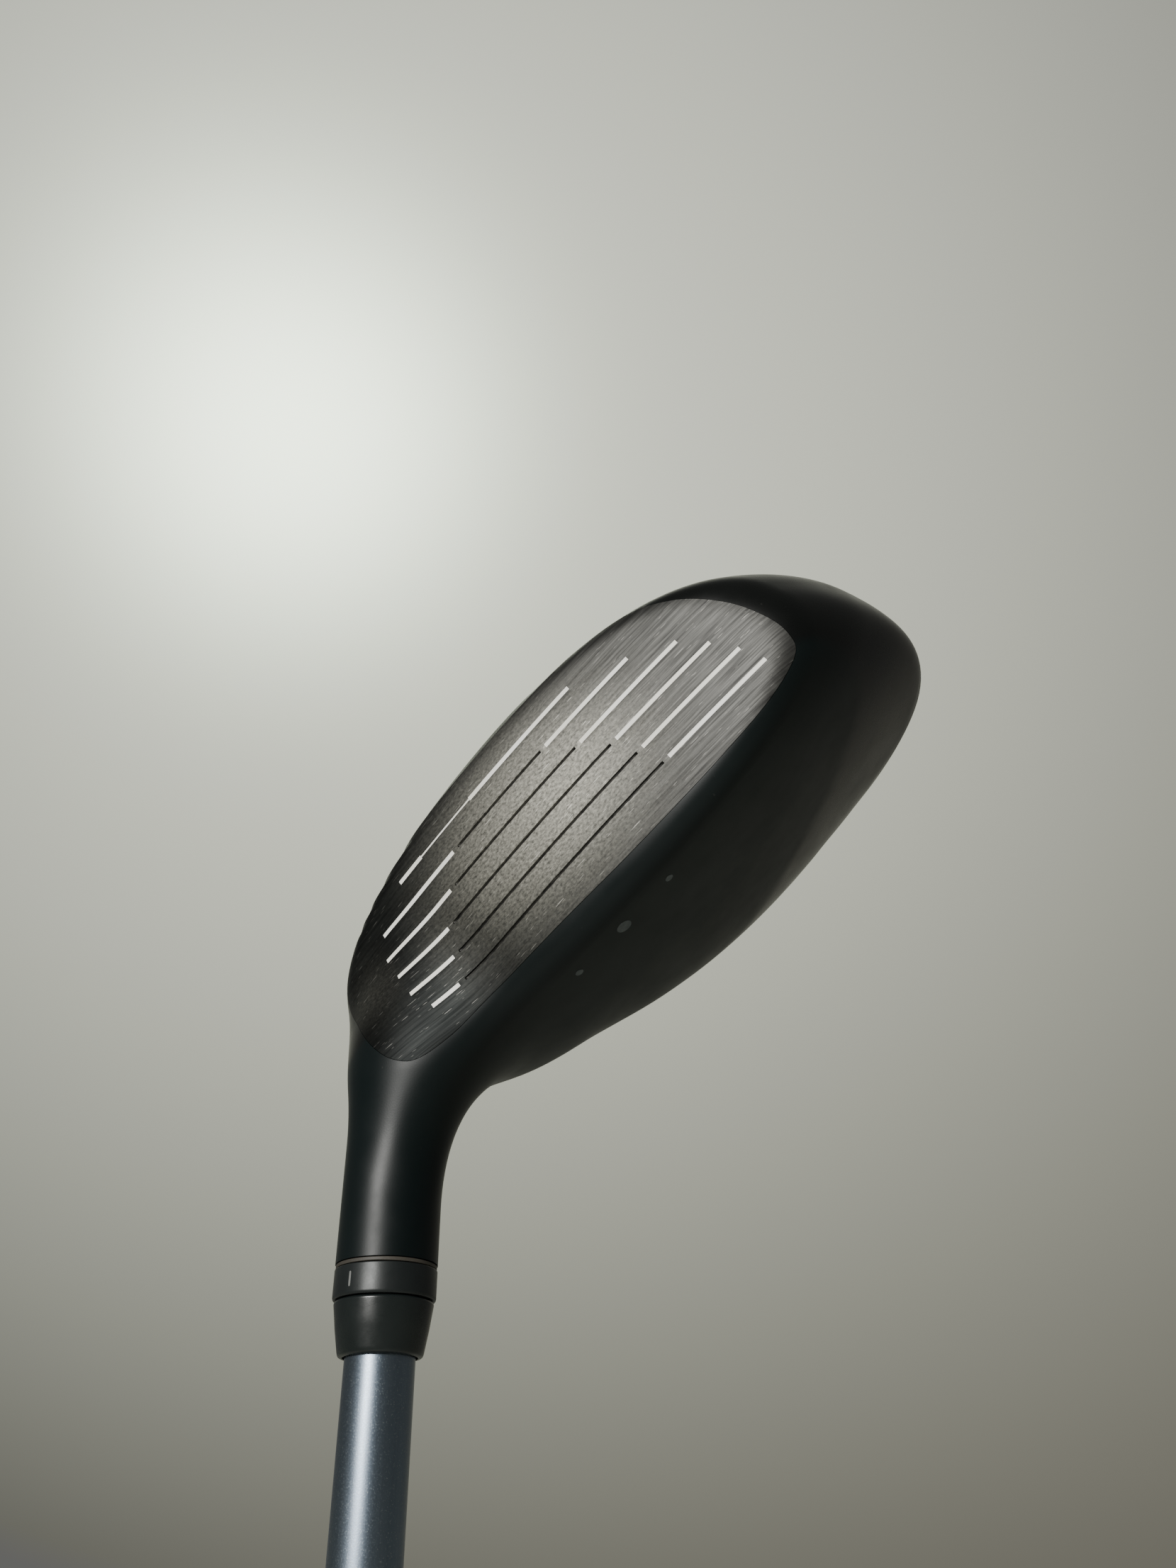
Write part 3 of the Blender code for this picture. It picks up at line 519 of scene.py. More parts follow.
def shaded_groove_steel():
    """The bare floor of the unpainted grooves, drawn near black as painted shade in the recess."""
    look = Paint("shaded_groove_steel", (0.05, 0.048, 0.045), 0.5, 0.8)
    # near-black floor colour: painted shade in the groove's recess
    look.colour(look.mix(look.remap(look.noise(900, 3), 0.35, 0.7),
                         (0.006, 0.006, 0.006), (0.03, 0.029, 0.026)))
    look.bump(look.noise(2400, 3), 0.3, 0.00004)
    return look.mat


def dot_paint():
    look = Paint("dot_paint", (0.07, 0.082, 0.085), 0.55)
    look.colour(look.mix(look.remap(look.noise(1500, 3), 0.35, 0.7),
                         (0.055, 0.066, 0.07), (0.085, 0.098, 0.10)))
    look.bump(look.noise(4000, 2), 0.1, 0.00004)
    return look.mat


def brushed_metal(name, dark, light, roughness, stretch=(300, 300, 3000)):
    """Turned or brushed bare metal, its lines stretched one way."""
    look = Paint(name, light, roughness, 1.0)
    lines = look.noise(1.0, 4, 0.6, look.place(stretch))
    look.colour(look.mottle(lines, dark, light))
    look.roughness(look.remap(lines, 0.3, 0.7, roughness - 0.05, roughness + 0.08))
    look.bump(lines, 0.2, 0.00004)
    return look.mat


def satin_plastic(name, dark, light, roughness, grain=3500, depth=0.08, metallic=0.0):
    """Moulded or anodised surface with a fine grain and handling marks."""
    look = Paint(name, light, roughness, metallic)
    look.colour(look.mix(look.remap(look.noise(90, 4), 0.35, 0.7), dark, light))
    rub = look.remap(look.noise(260, 5, 0.65), 0.35, 0.75, roughness - 0.05, roughness + 0.07)
    look.roughness(rub)
    look.bump(look.noise(grain, 3), depth, 0.00008)
    return look.mat


def shaft_paint():
    """Blue-silver metallic lacquer with fine flakes over the shaft's faint length lines."""
    look = Paint("shaft_paint", (0.185, 0.22, 0.235), 0.40, 1.0,
                 Coat_Weight=0.15, Coat_Roughness=0.2)
    flakes = look.noise(5200, 2, 0.6)
    cloud = look.noise(1.0, 4, 0.6, look.place((500, 500, 12)))
    tone = look.mottle(cloud, (0.150, 0.185, 0.230), (0.198, 0.238, 0.290))
    look.colour(look.mix(look.remap(flakes, 0.60, 0.72), tone, (0.30, 0.34, 0.36)))
    look.roughness(look.remap(flakes, 0.35, 0.7, 0.33, 0.41))
    look.bump(flakes, 0.12, 0.00004)
    return look.mat


def rubber():
    """Grip rubber: charcoal, matte, with a fine cord texture and rubbed high spots."""
    look = Paint("rubber", (0.022, 0.022, 0.023), 0.78)
    worn = look.noise(30, 4, 0.6)
    look.colour(look.mix(look.remap(worn, 0.35, 0.7), (0.016, 0.016, 0.017), (0.034, 0.034, 0.035)))
    look.roughness(look.remap(worn, 0.3, 0.7, 0.70, 0.86))
    look.bump(look.noise(2800, 3, 0.6), 0.35, 0.0001)
    return look.mat


def soft_foam(name, dark, light):
    look = Paint(name, light, 0.9)
    look.colour(look.mix(look.remap(look.noise(700, 3), 0.35, 0.7), dark, light))
    look.bump(look.noise(1500, 3), 0.5, 0.0002)
    return look.mat


# --- Head ---
AROUND = 176
HOSEL_RINGS = 16
NECK_RINGS = 30
BODY_RINGS = 34
TOE_RINGS = 34
CROTCH = np.array((34 * MM, 0.0, -4 * MM))
TOE_CENTRE = np.array((84 * MM, -20 * MM, -36 * MM))
HOSEL_BORE_R = 6.2 * MM
BORE_FLOOR = 31 * MM
SEAT_FACE = 34 * MM
SCREW_HOLE_R = 2.7 * MM
SCREW_WELL_R = 4.4 * MM
WELL_END = 75 * MM
BORE_SPARE = 2 * MM             # how far the bore's cutter starts outside the mouth
SKIRT_RISE = 11 * MM            # how far above the skirt's middle the gloss begins
SKIRT_SOFTNESS = 1.2 * MM


def section(in_plane, count=AROUND):
    angles = circle_angles(count)[:, None]
    return np.cos(angles) * TARGET + np.sin(angles) * in_plane


def head_sections():
    """Rays that cover the head, ring by ring: hosel, neck, body and toe."""
    turn_depth = CROTCH @ HOSEL_AXIS
    hosel_up = np.cross(HOSEL_AXIS, TARGET)
    start_arm = (CROTCH - turn_depth * HOSEL_AXIS) @ hosel_up
    end_arm = CROTCH[2] - TOE_CENTRE[2]
    sections = []
    for k in range(HOSEL_RINGS):
        sections.append((turn_depth * k / HOSEL_RINGS * HOSEL_AXIS, section(hosel_up)))
    for k in range(NECK_RINGS):
        share = k / NECK_RINGS
        tilt = LIE * (1 - share)
        up = np.array((math.sin(tilt), 0.0, math.cos(tilt)))
        arm = start_arm + (end_arm - start_arm) * share
        sections.append((CROTCH - arm * up + share * TOE_CENTRE[1] * TARGET, section(up)))
    for k in range(BODY_RINGS):
        centre = TOE_CENTRE.copy()
        centre[0] = CROTCH[0] + (TOE_CENTRE[0] - CROTCH[0]) * k / BODY_RINGS
        sections.append((centre, section(UP)))
    for k in range(TOE_RINGS):
        angle = math.pi / 2 * k / TOE_RINGS
        sections.append((TOE_CENTRE, math.cos(angle) * section(UP) + math.sin(angle) * TOE))
    return sections


def head_skin():
    sections = head_sections()
    starts = np.concatenate([np.tile(centre, (AROUND, 1)) for centre, _ in sections])
    directions = np.concatenate([rays for _, rays in sections])
    points = reach_surface(starts, directions)
    tip = reach_surface(TOE_CENTRE[None, :], TOE[None, :])
    points = np.vstack((points, tip, np.zeros((1, 3))))
    faces = skin_faces(len(sections), AROUND)
    faces += fan((len(sections) - 1) * AROUND, AROUND, len(points) - 2)
    faces += fan(0, AROUND, len(points) - 1)
    return points, faces


def onto_head(across, rise, height):
    """Face places (to the toe, up the face, out of it) laid on the head's real surface."""
    sag = across**2 / (2 * FACE_BULGE_R) + rise**2 / (2 * FACE_ROLL_R)
    points = FACE_CENTRE + across[:, None] * TOE + rise[:, None] * FACE_UP
    points = points - sag[:, None] * FACE_NORMAL
    for _ in range(24):
        drop = np.clip(head_distance(points), -0.8 * MM, 0.8 * MM)
        points = points - drop[:, None] * FACE_NORMAL
    return points + height[:, None] * head_normals(points)


def smooth_outline(corners, count):
    """Evenly spaced points on a smooth closed curve through a few corners."""
    corners = np.array(corners, dtype=float)
    total = len(corners)
    places = np.linspace(0, total, count * 8, endpoint=False)
    left = np.floor(places).astype(int)
    part = (places - left)[:, None]
    fine = curve_between(*(corners[(left + k) % total] for k in (-1, 0, 1, 2)), part)
    closed = np.vstack((fine, fine[:1]))
    run = np.concatenate(([0], np.cumsum(np.linalg.norm(np.diff(closed, axis=0), axis=1))))
    spots = np.linspace(0, run[-1], count, endpoint=False)
    return np.column_stack([np.interp(spots, run, closed[:, axis]) for axis in (0, 1)])


def prism(name, outline, low, high, place=None):
    """A solid between two heights inside an outline, laid in place point by point."""
    count = len(outline)
    centre = outline.mean(axis=0)
    shares = np.linspace(1, 0, 9)[:-1]
    flat = np.vstack([centre + (outline - centre) * share for share in shares] + [centre[None, :]])
    size = len(flat)
    points = []
    for height in (high, low):
        layer = np.column_stack((flat, np.full(size, height)))
        points.append(layer if place is None else place(layer))
    faces = []
    for one, two, three, four in skin_faces(len(shares), count):
        faces.append((one, two, three, four))
        faces.append((four + size, three + size, two + size, one + size))
    inner = (len(shares) - 1) * count
    faces += fan(inner, count, size - 1) + fan(inner + size, count, 2 * size - 1)
    faces += rim(count, 0, size)
    return piece(name, np.vstack(points), faces, None, None)


# The bare steel's edge: distances to the toe and up the face from its centre, in millimetres
FACE_OUTLINE_MM = (
    (-41.3, -2.9), (-40.2, -6.6), (-36, -9.8), (-28, -12.6), (-14, -14.9), (2, -15.7), (18, -15.2),
    (31, -12.7), (38.8, -7.6), (43.6, -1.2), (45.9, 5.0), (46.2, 9.5), (44.4, 12.4), (37.3, 14.7),
    (26, 15.7), (10, 15.8), (-6, 15.1), (-19.8, 14.6), (-28, 15.3), (-32.9, 15.0), (-35.4, 12.9),
    (-37.2, 9.2), (-39.2, 3.0),
)
GROOVE_PITCH = 4.0
GROOVE_HALF_WIDTH = 0.33
GROOVE_DEPTH = 0.28
# Each row from the sole up: heel end, bare middle's half length (0 for none) and toe end
GROOVE_ROWS = (
    (-21.1, 0.0, 19.2), (-28.7, 9.7, 28.4), (-30.2, 13.9, 35.0), (-29.6, 18.0, 38.1),
    (-29.1, 19.9, 40.3), (-27.4, 21.6, 41.6),
)
GROOVE_BREAK = 1.1              # plain steel between a bare middle and its painted ends
BARE_SHARE = 0.72               # how wide a bare groove is, beside a painted one
WORN_SHARE = 0.4                # and the lowest groove where its paint is worn
WORN_RUN = (-15.5, -3.5)
WEAR_HIGHLIGHT_CENTRE = (1.0, 0.5)        # the middle of the worn steel, drawn brightest as a painted highlight, and its reach, in mm
WEAR_HIGHLIGHT_HALF = (18.0, 12.0)
SCUFF_CENTRE = (-35.0, 1.0)     # light scuffs low at the heel
SCUFF_REACH = 5.0
SCUFF_SHARE = 0.4
HEEL_SHADE = 0.6                # painted shade: the steel drawn darker high at the heel
SHADE_ACROSS = (-12, -26)
SHADE_UP = (-6, 6)
LIT_TOE_RAMP = (-24, 20)            # where the steel turns from its darker heel tone (painted shade) to its lighter toe tone (painted light)
PAINT_HOLLOW = 0.12             # the paint fills its groove up to this share of the depth
SLAB_THICK = 1.5                # the face's slab before its edge is cut
SKIN_DEPTH = 0.5
SKIN_PROUD = 0.03
CUTTER_TOP = 3.0                # well out of the face
POCKET_GAP = 0.07               # round the face's edge in the shell
POCKET_SPARE = 0.1              # and under it
POCKET_TOP = 2.5


def groove_runs():
    """(height up the face, from, to, painted, share of the full width) of each groove, in mm."""
    runs = []
    for row, (heel, half, toe) in enumerate(GROOVE_ROWS):
        height = (row - 2.5) * GROOVE_PITCH
        if half == 0:
            runs.append((height, heel, WORN_RUN[0], True, 1.0))
            runs.append((height, *WORN_RUN, True, WORN_SHARE))
            runs.append((height, WORN_RUN[1], toe, True, 1.0))
            continue
        runs.append((height, heel, -half - GROOVE_BREAK, True, 1.0))
        runs.append((height, -half, half, False, BARE_SHARE))
        runs.append((height, half + GROOVE_BREAK, toe, True, 1.0))
    return runs


def groove_lines():
    """The face grid's lines across the grooves and along them."""
    across = set(np.round(np.arange(-48, 50.1, 1.0), 3))
    for _, start, end, _, _ in groove_runs():
        across |= {start, start + 0.12, start + 0.4, end - 0.4, end - 0.12, end}
    rise = set()
    row_heights = sorted({run[0] for run in groove_runs()})
    for height in row_heights:
        for share in (-1.0, -0.72, -0.4, 0.0, 0.4, 0.72, 1.0):
            rise.add(round(height + share * GROOVE_HALF_WIDTH, 4))
    edge = row_heights[0] - GROOVE_HALF_WIDTH
    rise |= set(np.round(np.linspace(edge, -17.5, 8)[1:], 3))
    edge = row_heights[-1] + GROOVE_HALF_WIDTH
    rise |= set(np.round(np.linspace(edge, 18, 9)[1:], 3))
    for low, high in zip(row_heights, row_heights[1:]):
        span = (low + GROOVE_HALF_WIDTH, high - GROOVE_HALF_WIDTH)
        rise |= set(np.round(np.linspace(*span, 5)[1:-1], 3))
    return np.array(sorted(across)), np.array(sorted(rise))


def groove_depths(across, rise):
    """How deep the face is cut at each grid point, and which groove is there."""
    depth = np.zeros(across.shape)
    painted = np.zeros(across.shape, dtype=int)
    for height, start, end, white, share in groove_runs():
        off = np.abs(rise - height) / (GROOVE_HALF_WIDTH * share)
        inside = (off < 1.001) & (across > start - 0.01) & (across < end + 0.01)
        end_fade = np.clip(np.minimum(across - start, end - across) / 0.35, 0, 1) ** 0.5
        wall = np.sqrt(np.clip(1 - off**3, 0, 1))
        depth = np.where(inside, GROOVE_DEPTH * wall * end_fade, depth)
        floor = inside & (white | (off < WORN_SHARE / BARE_SHARE + 0.01))
        painted = np.where(floor, 1 if white else 2, painted)
    return depth, painted


def face_wear_and_highlight(x, y):
    """How worn the steel is, with a painted highlight in the middle: most in the middle, a little
    where it is scuffed at the heel.
    """
    away = ((x - WEAR_HIGHLIGHT_CENTRE[0]) / WEAR_HIGHLIGHT_HALF[0]) ** 2 + ((y - WEAR_HIGHLIGHT_CENTRE[1]) / WEAR_HIGHLIGHT_HALF[1]) ** 2
    scuffed = ((x - SCUFF_CENTRE[0]) ** 2 + (y - SCUFF_CENTRE[1]) ** 2) / SCUFF_REACH**2
    return np.maximum(np.exp(-(away**1.3)), SCUFF_SHARE * np.exp(-scuffed))


def build_face(mats):
    across, rise = groove_lines()
    columns, rows = len(across), len(rise)
    grid_across, grid_rise = np.meshgrid(across, rise)
    depth, painted = groove_depths(grid_across, grid_rise)
    fill = np.where(painted == 1, PAINT_HOLLOW, 1.0)
    top = np.column_stack((grid_across.ravel(), grid_rise.ravel(), -(depth * fill).ravel()))
    bottom = top.copy()
    bottom[:, 2] = -SLAB_THICK
    size = len(top)
    faces = []
    slots = []
    kinds = painted.ravel()
    for r in range(rows - 1):
        for c in range(columns - 1):
            first = r * columns + c
            quad = (first, first + 1, first + columns + 1, first + columns)
            corner_kinds = [kinds[v] for v in quad]
            faces.append(quad)
            slots.append(corner_kinds[0] if min(corner_kinds) > 0 else 0)
            faces.append(tuple(v + size for v in reversed(quad)))
            slots.append(0)
    border = list(range(columns))
    border += [r * columns + columns - 1 for r in range(1, rows)]
    border += [(rows - 1) * columns + c for c in range(columns - 2, -1, -1)]
    border += [r * columns for r in range(rows - 2, 0, -1)]
    for one, two in zip(border, border[1:] + border[:1]):
        faces.append((two, one, one + size, two + size))
        slots.append(0)
    slab = piece("face", np.vstack((top, bottom)), faces,
                 [mats["face_steel"], mats["groove_white"], mats["shaded_groove_steel"]], None)
    slab.data.polygons.foreach_set("material_index", slots)
    outline = smooth_outline(FACE_OUTLINE_MM, 320)
    cut(slab, "INTERSECT", prism("face_edge", outline, -SKIN_DEPTH, CUTTER_TOP))

    mesh = slab.data
    flat = read_values(mesh.vertices, "co")
    x, y, height = flat.T
    points = to_row(onto_head(x * MM, y * MM, (height + SKIN_PROUD) * MM))
    mesh.vertices.foreach_set("co", points.ravel())
    layer = mesh.uv_layers.new(name="face_places")
    layer.data.foreach_set("uv", (flat[loop_vertices(mesh), :2] * MM).ravel())
    # worn: real wear, with a painted highlight in the middle of the face
    add_share(mesh, "worn", face_wear_and_highlight(x, y))
    # painted shade high at the heel
    add_share(mesh, "shade", HEEL_SHADE * ramp(x, *SHADE_ACROSS) * ramp(y, *SHADE_UP))
    # painted shade at the heel and painted light at the toe, as a ramp across the face
    add_share(mesh, "toe_side", ramp(x, *LIT_TOE_RAMP))
    mesh.update()
    smooth(mesh, 24)
    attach(slab, HEAD)
    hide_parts("face_plate")
    return outline


def skirt_height(places):
    """The height of the skirt's middle at places in the head's frame."""
    return sloped(SKIRT_Z, places[:, 0] - PLAN_CENTRE[0], places[:, 1] - PLAN_CENTRE[1])


def under_sole(layer):
    """Lays plan places on the sole, moved in by their own height."""
    starts = np.column_stack((layer[:, :2], skirt_height(layer)))
    surface = reach_surface(starts, np.tile(-UP, (len(layer), 1)))
    return to_row(surface - layer[:, 2:] * head_normals(surface))


def oval(centre, half, count=160, squareness=2.6):
    angles = circle_angles(count)
    x, y = (
        np.sign(part) * np.abs(part) ** (2 / squareness)
        for part in (np.cos(angles), np.sin(angles))
    )
    return np.column_stack((centre[0] + half[0] * x, centre[1] + half[1] * y))


SOLE_CENTRE = (62 * MM, -22 * MM)
SOLE_HALF = (24 * MM, 10 * MM)
SOLE_PLATE_THICK = 0.9 * MM
RECESS_GAP = 0.15 * MM
RECESS_OUTSIDE = 3 * MM
RECESS_DEPTH = SOLE_PLATE_THICK + 0.3 * MM


def build_shell(mats, face_outline):
    points, faces = head_skin()
    shell = piece("head_shell", to_row(points), faces, mats["head_paint"], None)
    along = np.roll(face_outline, -1, axis=0) - np.roll(face_outline, 1, axis=0)
    outwards = np.column_stack((along[:, 1], -along[:, 0]))
    outwards /= np.linalg.norm(outwards, axis=1)[:, None]
    grown = face_outline + POCKET_GAP * outwards

    def face_place(layer):
        return to_row(onto_head(*(layer * MM).T))

    pocket = prism("face_pocket", grown, -SKIN_DEPTH - POCKET_SPARE, POCKET_TOP, face_place)
    bore = lathe("bore", [
        (0.0, -BORE_SPARE), (HOSEL_BORE_R, -BORE_SPARE), (HOSEL_BORE_R, BORE_FLOOR),
        (SCREW_HOLE_R, BORE_FLOOR), (SCREW_HOLE_R, SEAT_FACE), (SCREW_WELL_R, SEAT_FACE),
        (SCREW_WELL_R, WELL_END), (0.0, WELL_END),
    ], None, None, base=MOUTH_Z, segments=128)
    sole_half = (SOLE_HALF[0] + RECESS_GAP, SOLE_HALF[1] + RECESS_GAP)
    recess = prism("sole_recess", oval(SOLE_CENTRE, sole_half), -RECESS_OUTSIDE, RECESS_DEPTH,
                   under_sole)
    cut(shell, "DIFFERENCE", pocket, bore, recess)
    mesh = shell.data
    smooth(mesh, 40)
    places = to_head(read_values(mesh.vertices, "co"))
    rise = places[:, 2] - skirt_height(places)
    add_share(mesh, "skirt", np.clip((SKIRT_RISE - rise) / SKIRT_SOFTNESS + 0.5, 0, 1))
    follow_head(shell)
    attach(shell, HEAD)
    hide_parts("head_body", "crown_plate")


def build_sole(mats):
    plate = prism("sole_badge", oval(SOLE_CENTRE, SOLE_HALF), 0.0, SOLE_PLATE_THICK, under_sole)
    plate.data.materials.append(mats["sole_steel"])
    smooth(plate.data, 40)
    follow_head(plate)
    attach(plate, HEAD)
    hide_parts("sole_plate")


DOT_TO_FACE = (0.0, -13.2 * MM, 16.9 * MM)      # from the face's centre to the middle dot
DOTS = ((0.0, 1.22), (9.7, 0.66), (-9.7, 0.66))  # place along the crown and radius, in mm
DOT_AROUND = 48
DOT_PROFILE = ((1.0, -0.05), (0.97, 0.025), (0.6, 0.03))    # share of the radius, height in mm


def build_dots(mats):
    """Alignment dots printed on the crown."""
    angles = circle_angles(DOT_AROUND)[:, None]
    arms = (np.cos(angles) * TOE + np.sin(angles) * TARGET) * MM
    shares, heights = np.array(DOT_PROFILE).T
    heights = np.append(np.repeat(heights, DOT_AROUND), heights[-1]) * MM
    rings = len(shares)
    faces = skin_faces(rings, DOT_AROUND)
    faces += fan((rings - 1) * DOT_AROUND, DOT_AROUND, rings * DOT_AROUND)
    faces.append(tuple(reversed(range(DOT_AROUND))))
    for number, (along, radius) in enumerate(DOTS):
        centre = FACE_CENTRE + np.array(DOT_TO_FACE) + along * MM * TOE
        starts = np.vstack([centre + share * radius * arms for share in shares] + [centre])
        starts[:, 2] = SKIRT_Z[0]
        surface = reach_surface(starts, np.tile(UP, (len(starts), 1)))
        points = surface + heights[:, None] * head_normals(surface)
        piece(f"crown_dot_{number + 1}", to_row(points), faces, mats["dot_paint"], HEAD, 60)


# --- Hosel connector, screw, shaft and grip ---
COLLAR_LOW = -4.6 * MM
COLLAR_TOP = -0.7 * MM
COLLAR_R = 7.0 * MM
SPIGOT_R = 5.9 * MM
SPIGOT_END = 30 * MM
TAP_FLOOR = 22.5 * MM
SHAFT_BORE_R = 5.0 * MM
SHAFT_STOP = 21.3 * MM
FERRULE_TOP = -4.7 * MM
FERRULE_LOW = -11.6 * MM
FERRULE_TOP_R = 6.75 * MM
FERRULE_MOUTH_R = 5.75 * MM
SCREW_R = 2.4 * MM
SCREW_HEAD_R = 4.1 * MM
SCREW_HEAD_BASE = 35.1 * MM
SCREW_HEAD_TOP = 40.6 * MM
SCREW_END = 23.1 * MM
SOCKET_R = 2.4 * MM
SOCKET_DEPTH = 3.2 * MM
THREAD_PITCH = 0.8 * MM
THREAD_DEPTH = 0.35 * MM
WASHER_BASE = 34.1 * MM
WASHER_TOP = 35.0 * MM
RETAINER_BASE = 45.9 * MM
RETAINER_TOP = 46.9 * MM
RETAINER_HOLE_R = 3.3 * MM


def tube(inner, outer, low, high, edge=0.12 * MM):
    return rounded([(outer, low), (outer, high), (inner, high), (inner, low)], edge)


def build_connector(mats):
    lathe("adapter_sleeve", rounded([
        (COLLAR_R - 0.12 * MM, COLLAR_LOW), (COLLAR_R, COLLAR_LOW + 0.3 * MM),
        (COLLAR_R, COLLAR_TOP), (SPIGOT_R, COLLAR_TOP),
        (SPIGOT_R, SPIGOT_END - 1 * MM), (SPIGOT_R - 0.7 * MM, SPIGOT_END),
        (SCREW_HOLE_R, SPIGOT_END), (SCREW_HOLE_R, TAP_FLOOR), (0.0, TAP_FLOOR), (0.0, SHAFT_STOP),
        (SHAFT_BORE_R, SHAFT_STOP), (SHAFT_BORE_R, COLLAR_LOW),
    ], 0.16 * MM), mats["anodised"], SHAFT, ("hosel_sleeve",), 128, MOUTH_Z)
    lathe("seam_ring", tube(HOSEL_BORE_R, COLLAR_R - 0.1 * MM, -0.6 * MM, -0.1 * MM), mats["seam"],
          "seal", ("seal_ring",), 128, MOUTH_Z)
    lip = 0.6 * MM
    lathe("tapered_ferrule", rounded([
        (FERRULE_MOUTH_R - lip, FERRULE_LOW),
        (FERRULE_MOUTH_R - 0.24 * lip, FERRULE_LOW + 0.26 * lip),
        (FERRULE_MOUTH_R, FERRULE_LOW + lip),
        (0.5 * (FERRULE_TOP_R + FERRULE_MOUTH_R) + 0.03 * MM, 0.5 * (FERRULE_TOP + FERRULE_LOW)),
        (FERRULE_TOP_R, FERRULE_TOP - 0.3 * MM), (FERRULE_TOP_R - 0.2 * MM, FERRULE_TOP),
        (SHAFT_BORE_R, FERRULE_TOP), (SHAFT_BORE_R, FERRULE_LOW),
    ], 0.25 * MM), mats["ferrule_plastic"], SHAFT, ("ferrule",), 128, MOUTH_Z, 60)
    lathe("screw_washer_ring", tube(SCREW_HOLE_R, SCREW_HEAD_R, WASHER_BASE, WASHER_TOP),
          mats["turned_steel"], "washer", ("screw_washer",), 96, MOUTH_Z)
    lathe("screw_retainer_ring", tube(RETAINER_HOLE_R, SCREW_HEAD_R, RETAINER_BASE, RETAINER_TOP),
          mats["turned_steel"], HEAD, ("screw_retainer",), 96, MOUTH_Z)
    shank = [(SCREW_R - 0.4 * MM, SCREW_END)]
    turns = int((SCREW_HEAD_BASE - SCREW_END - 2.5 * MM) / THREAD_PITCH)
    for turn in range(turns):
        height = SCREW_END + 0.5 * MM + turn * THREAD_PITCH
        shank.append((SCREW_R, height))
        shank.append((SCREW_R - THREAD_DEPTH, height + THREAD_PITCH / 2))
    shank.append((SCREW_R, SCREW_HEAD_BASE - 1.6 * MM))
    knurl = rounded([
        (SCREW_R, SCREW_HEAD_BASE), (SCREW_HEAD_R, SCREW_HEAD_BASE),
        (SCREW_HEAD_R, SCREW_HEAD_TOP - 0.5 * MM), (SCREW_HEAD_R - 0.5 * MM, SCREW_HEAD_TOP),
        (0.0, SCREW_HEAD_TOP), (0.0, SCREW_END),
    ], 0.12 * MM)
    screw = lathe("torque_screw", shank + knurl, mats["turned_steel"], None, (), 96, MOUTH_Z)
    floor = SCREW_HEAD_TOP - SOCKET_DEPTH
    socket = lathe("socket", [
        (0.0, floor - 0.6 * MM), (SOCKET_R * 0.6, floor), (SOCKET_R, floor),
        (SOCKET_R, SCREW_HEAD_TOP + 1 * MM), (0.0, SCREW_HEAD_TOP + 1 * MM),
    ], None, None, (), 6, MOUTH_Z)
    cut(screw, "DIFFERENCE", socket)
    screw.data.set_sharp_from_angle(angle=math.radians(30))
    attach(screw, "screw")
    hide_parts("hosel_screw")


MARK_TURN = math.radians(-83)    # where the collar's setting mark is, about the shaft
MARK_HALF = (0.16 * MM, 0.95 * MM)
MARK_PROUD = 0.02 * MM
MARK_SUNK = 0.05 * MM


def build_collar_mark(mats):
    """A plain printed line that shows the sleeve's setting."""
    middle = 0.5 * (COLLAR_LOW + COLLAR_TOP)
    outline = oval((0.0, middle), MARK_HALF, 40, 5)
    centre = outline.mean(axis=0)
    flat = np.vstack((outline, 0.5 * (outline + centre), centre))
    count, size = len(outline), len(flat)
    angles = MARK_TURN + flat[:, 0] / COLLAR_R
    points = np.vstack([
        np.column_stack((radius * np.cos(angles), radius * np.sin(angles), MOUTH_Z + flat[:, 1]))
        for radius in (COLLAR_R + MARK_PROUD, COLLAR_R - MARK_SUNK)
    ])
    faces = rim(count, 0, size)
    for first in (0, size):
        faces += rim(count, first, first + count) + fan(first + count, count, first + size - 1)
    piece("collar_mark", points, faces, mats["mark_paint"], SHAFT, 50)


SHAFT_START = 3.3 * MM
SHAFT_END = 966 * MM
TAPER_END = 865 * MM
SHAFT_BUTT_R = 7.6 * MM
SHAFT_TIP_R = 4.7 * MM
SHAFT_WALL = 1.2 * MM
SHAFT_STATIONS = 48


def shaft_radius(height):
    share = min(max((height - SHAFT_START) / (TAPER_END - SHAFT_START), 0.0), 1.0)
    return SHAFT_BUTT_R + (SHAFT_TIP_R - SHAFT_BUTT_R) * share


def build_shaft(mats):
    heights = [SHAFT_START + (TAPER_END - SHAFT_START) * k / SHAFT_STATIONS
               for k in range(SHAFT_STATIONS + 1)]
    heights += [TAPER_END + (SHAFT_END - TAPER_END) * k / 6 for k in range(1, 7)]
    outer = [(shaft_radius(height), height) for height in heights]
    inner = [(radius - SHAFT_WALL, height) for radius, height in reversed(outer)]
    lathe("tapered_shaft", outer + inner, mats["shaft_paint"], SHAFT, ("shaft",), 112)


GRIP_START = 3.1 * MM
GRIP_LENGTH = 268 * MM
GRIP_BUTT_R = 13.2 * MM
GRIP_MOUTH_R = 8.9 * MM
GRIP_FLARE_R = 14.6 * MM
GRIP_FLARE = 14 * MM
GRIP_BORE_GAP = 1.0 * MM
GRIP_AROUND = 180
GRIP_ROWS = 460
GRIP_BORE_ROWS = 13
GRIP_END_ROUND = 1.0 * MM
GRIP_END_DROP = 0.4 * MM
CHECK_ROUND = 14                # lozenges round the grip
CHECK_PITCH = 6.5 * MM
CHECK_DEPTH = 0.42 * MM
CHECK_WIDTH = 0.13              # a groove's half width, as a share of the pattern's repeat
CHECK_FADE = 3 * MM             # where the pattern runs out at a zone's ends
CHECK_ZONES = ((26 * MM, 118 * MM), (134 * MM, 236 * MM))
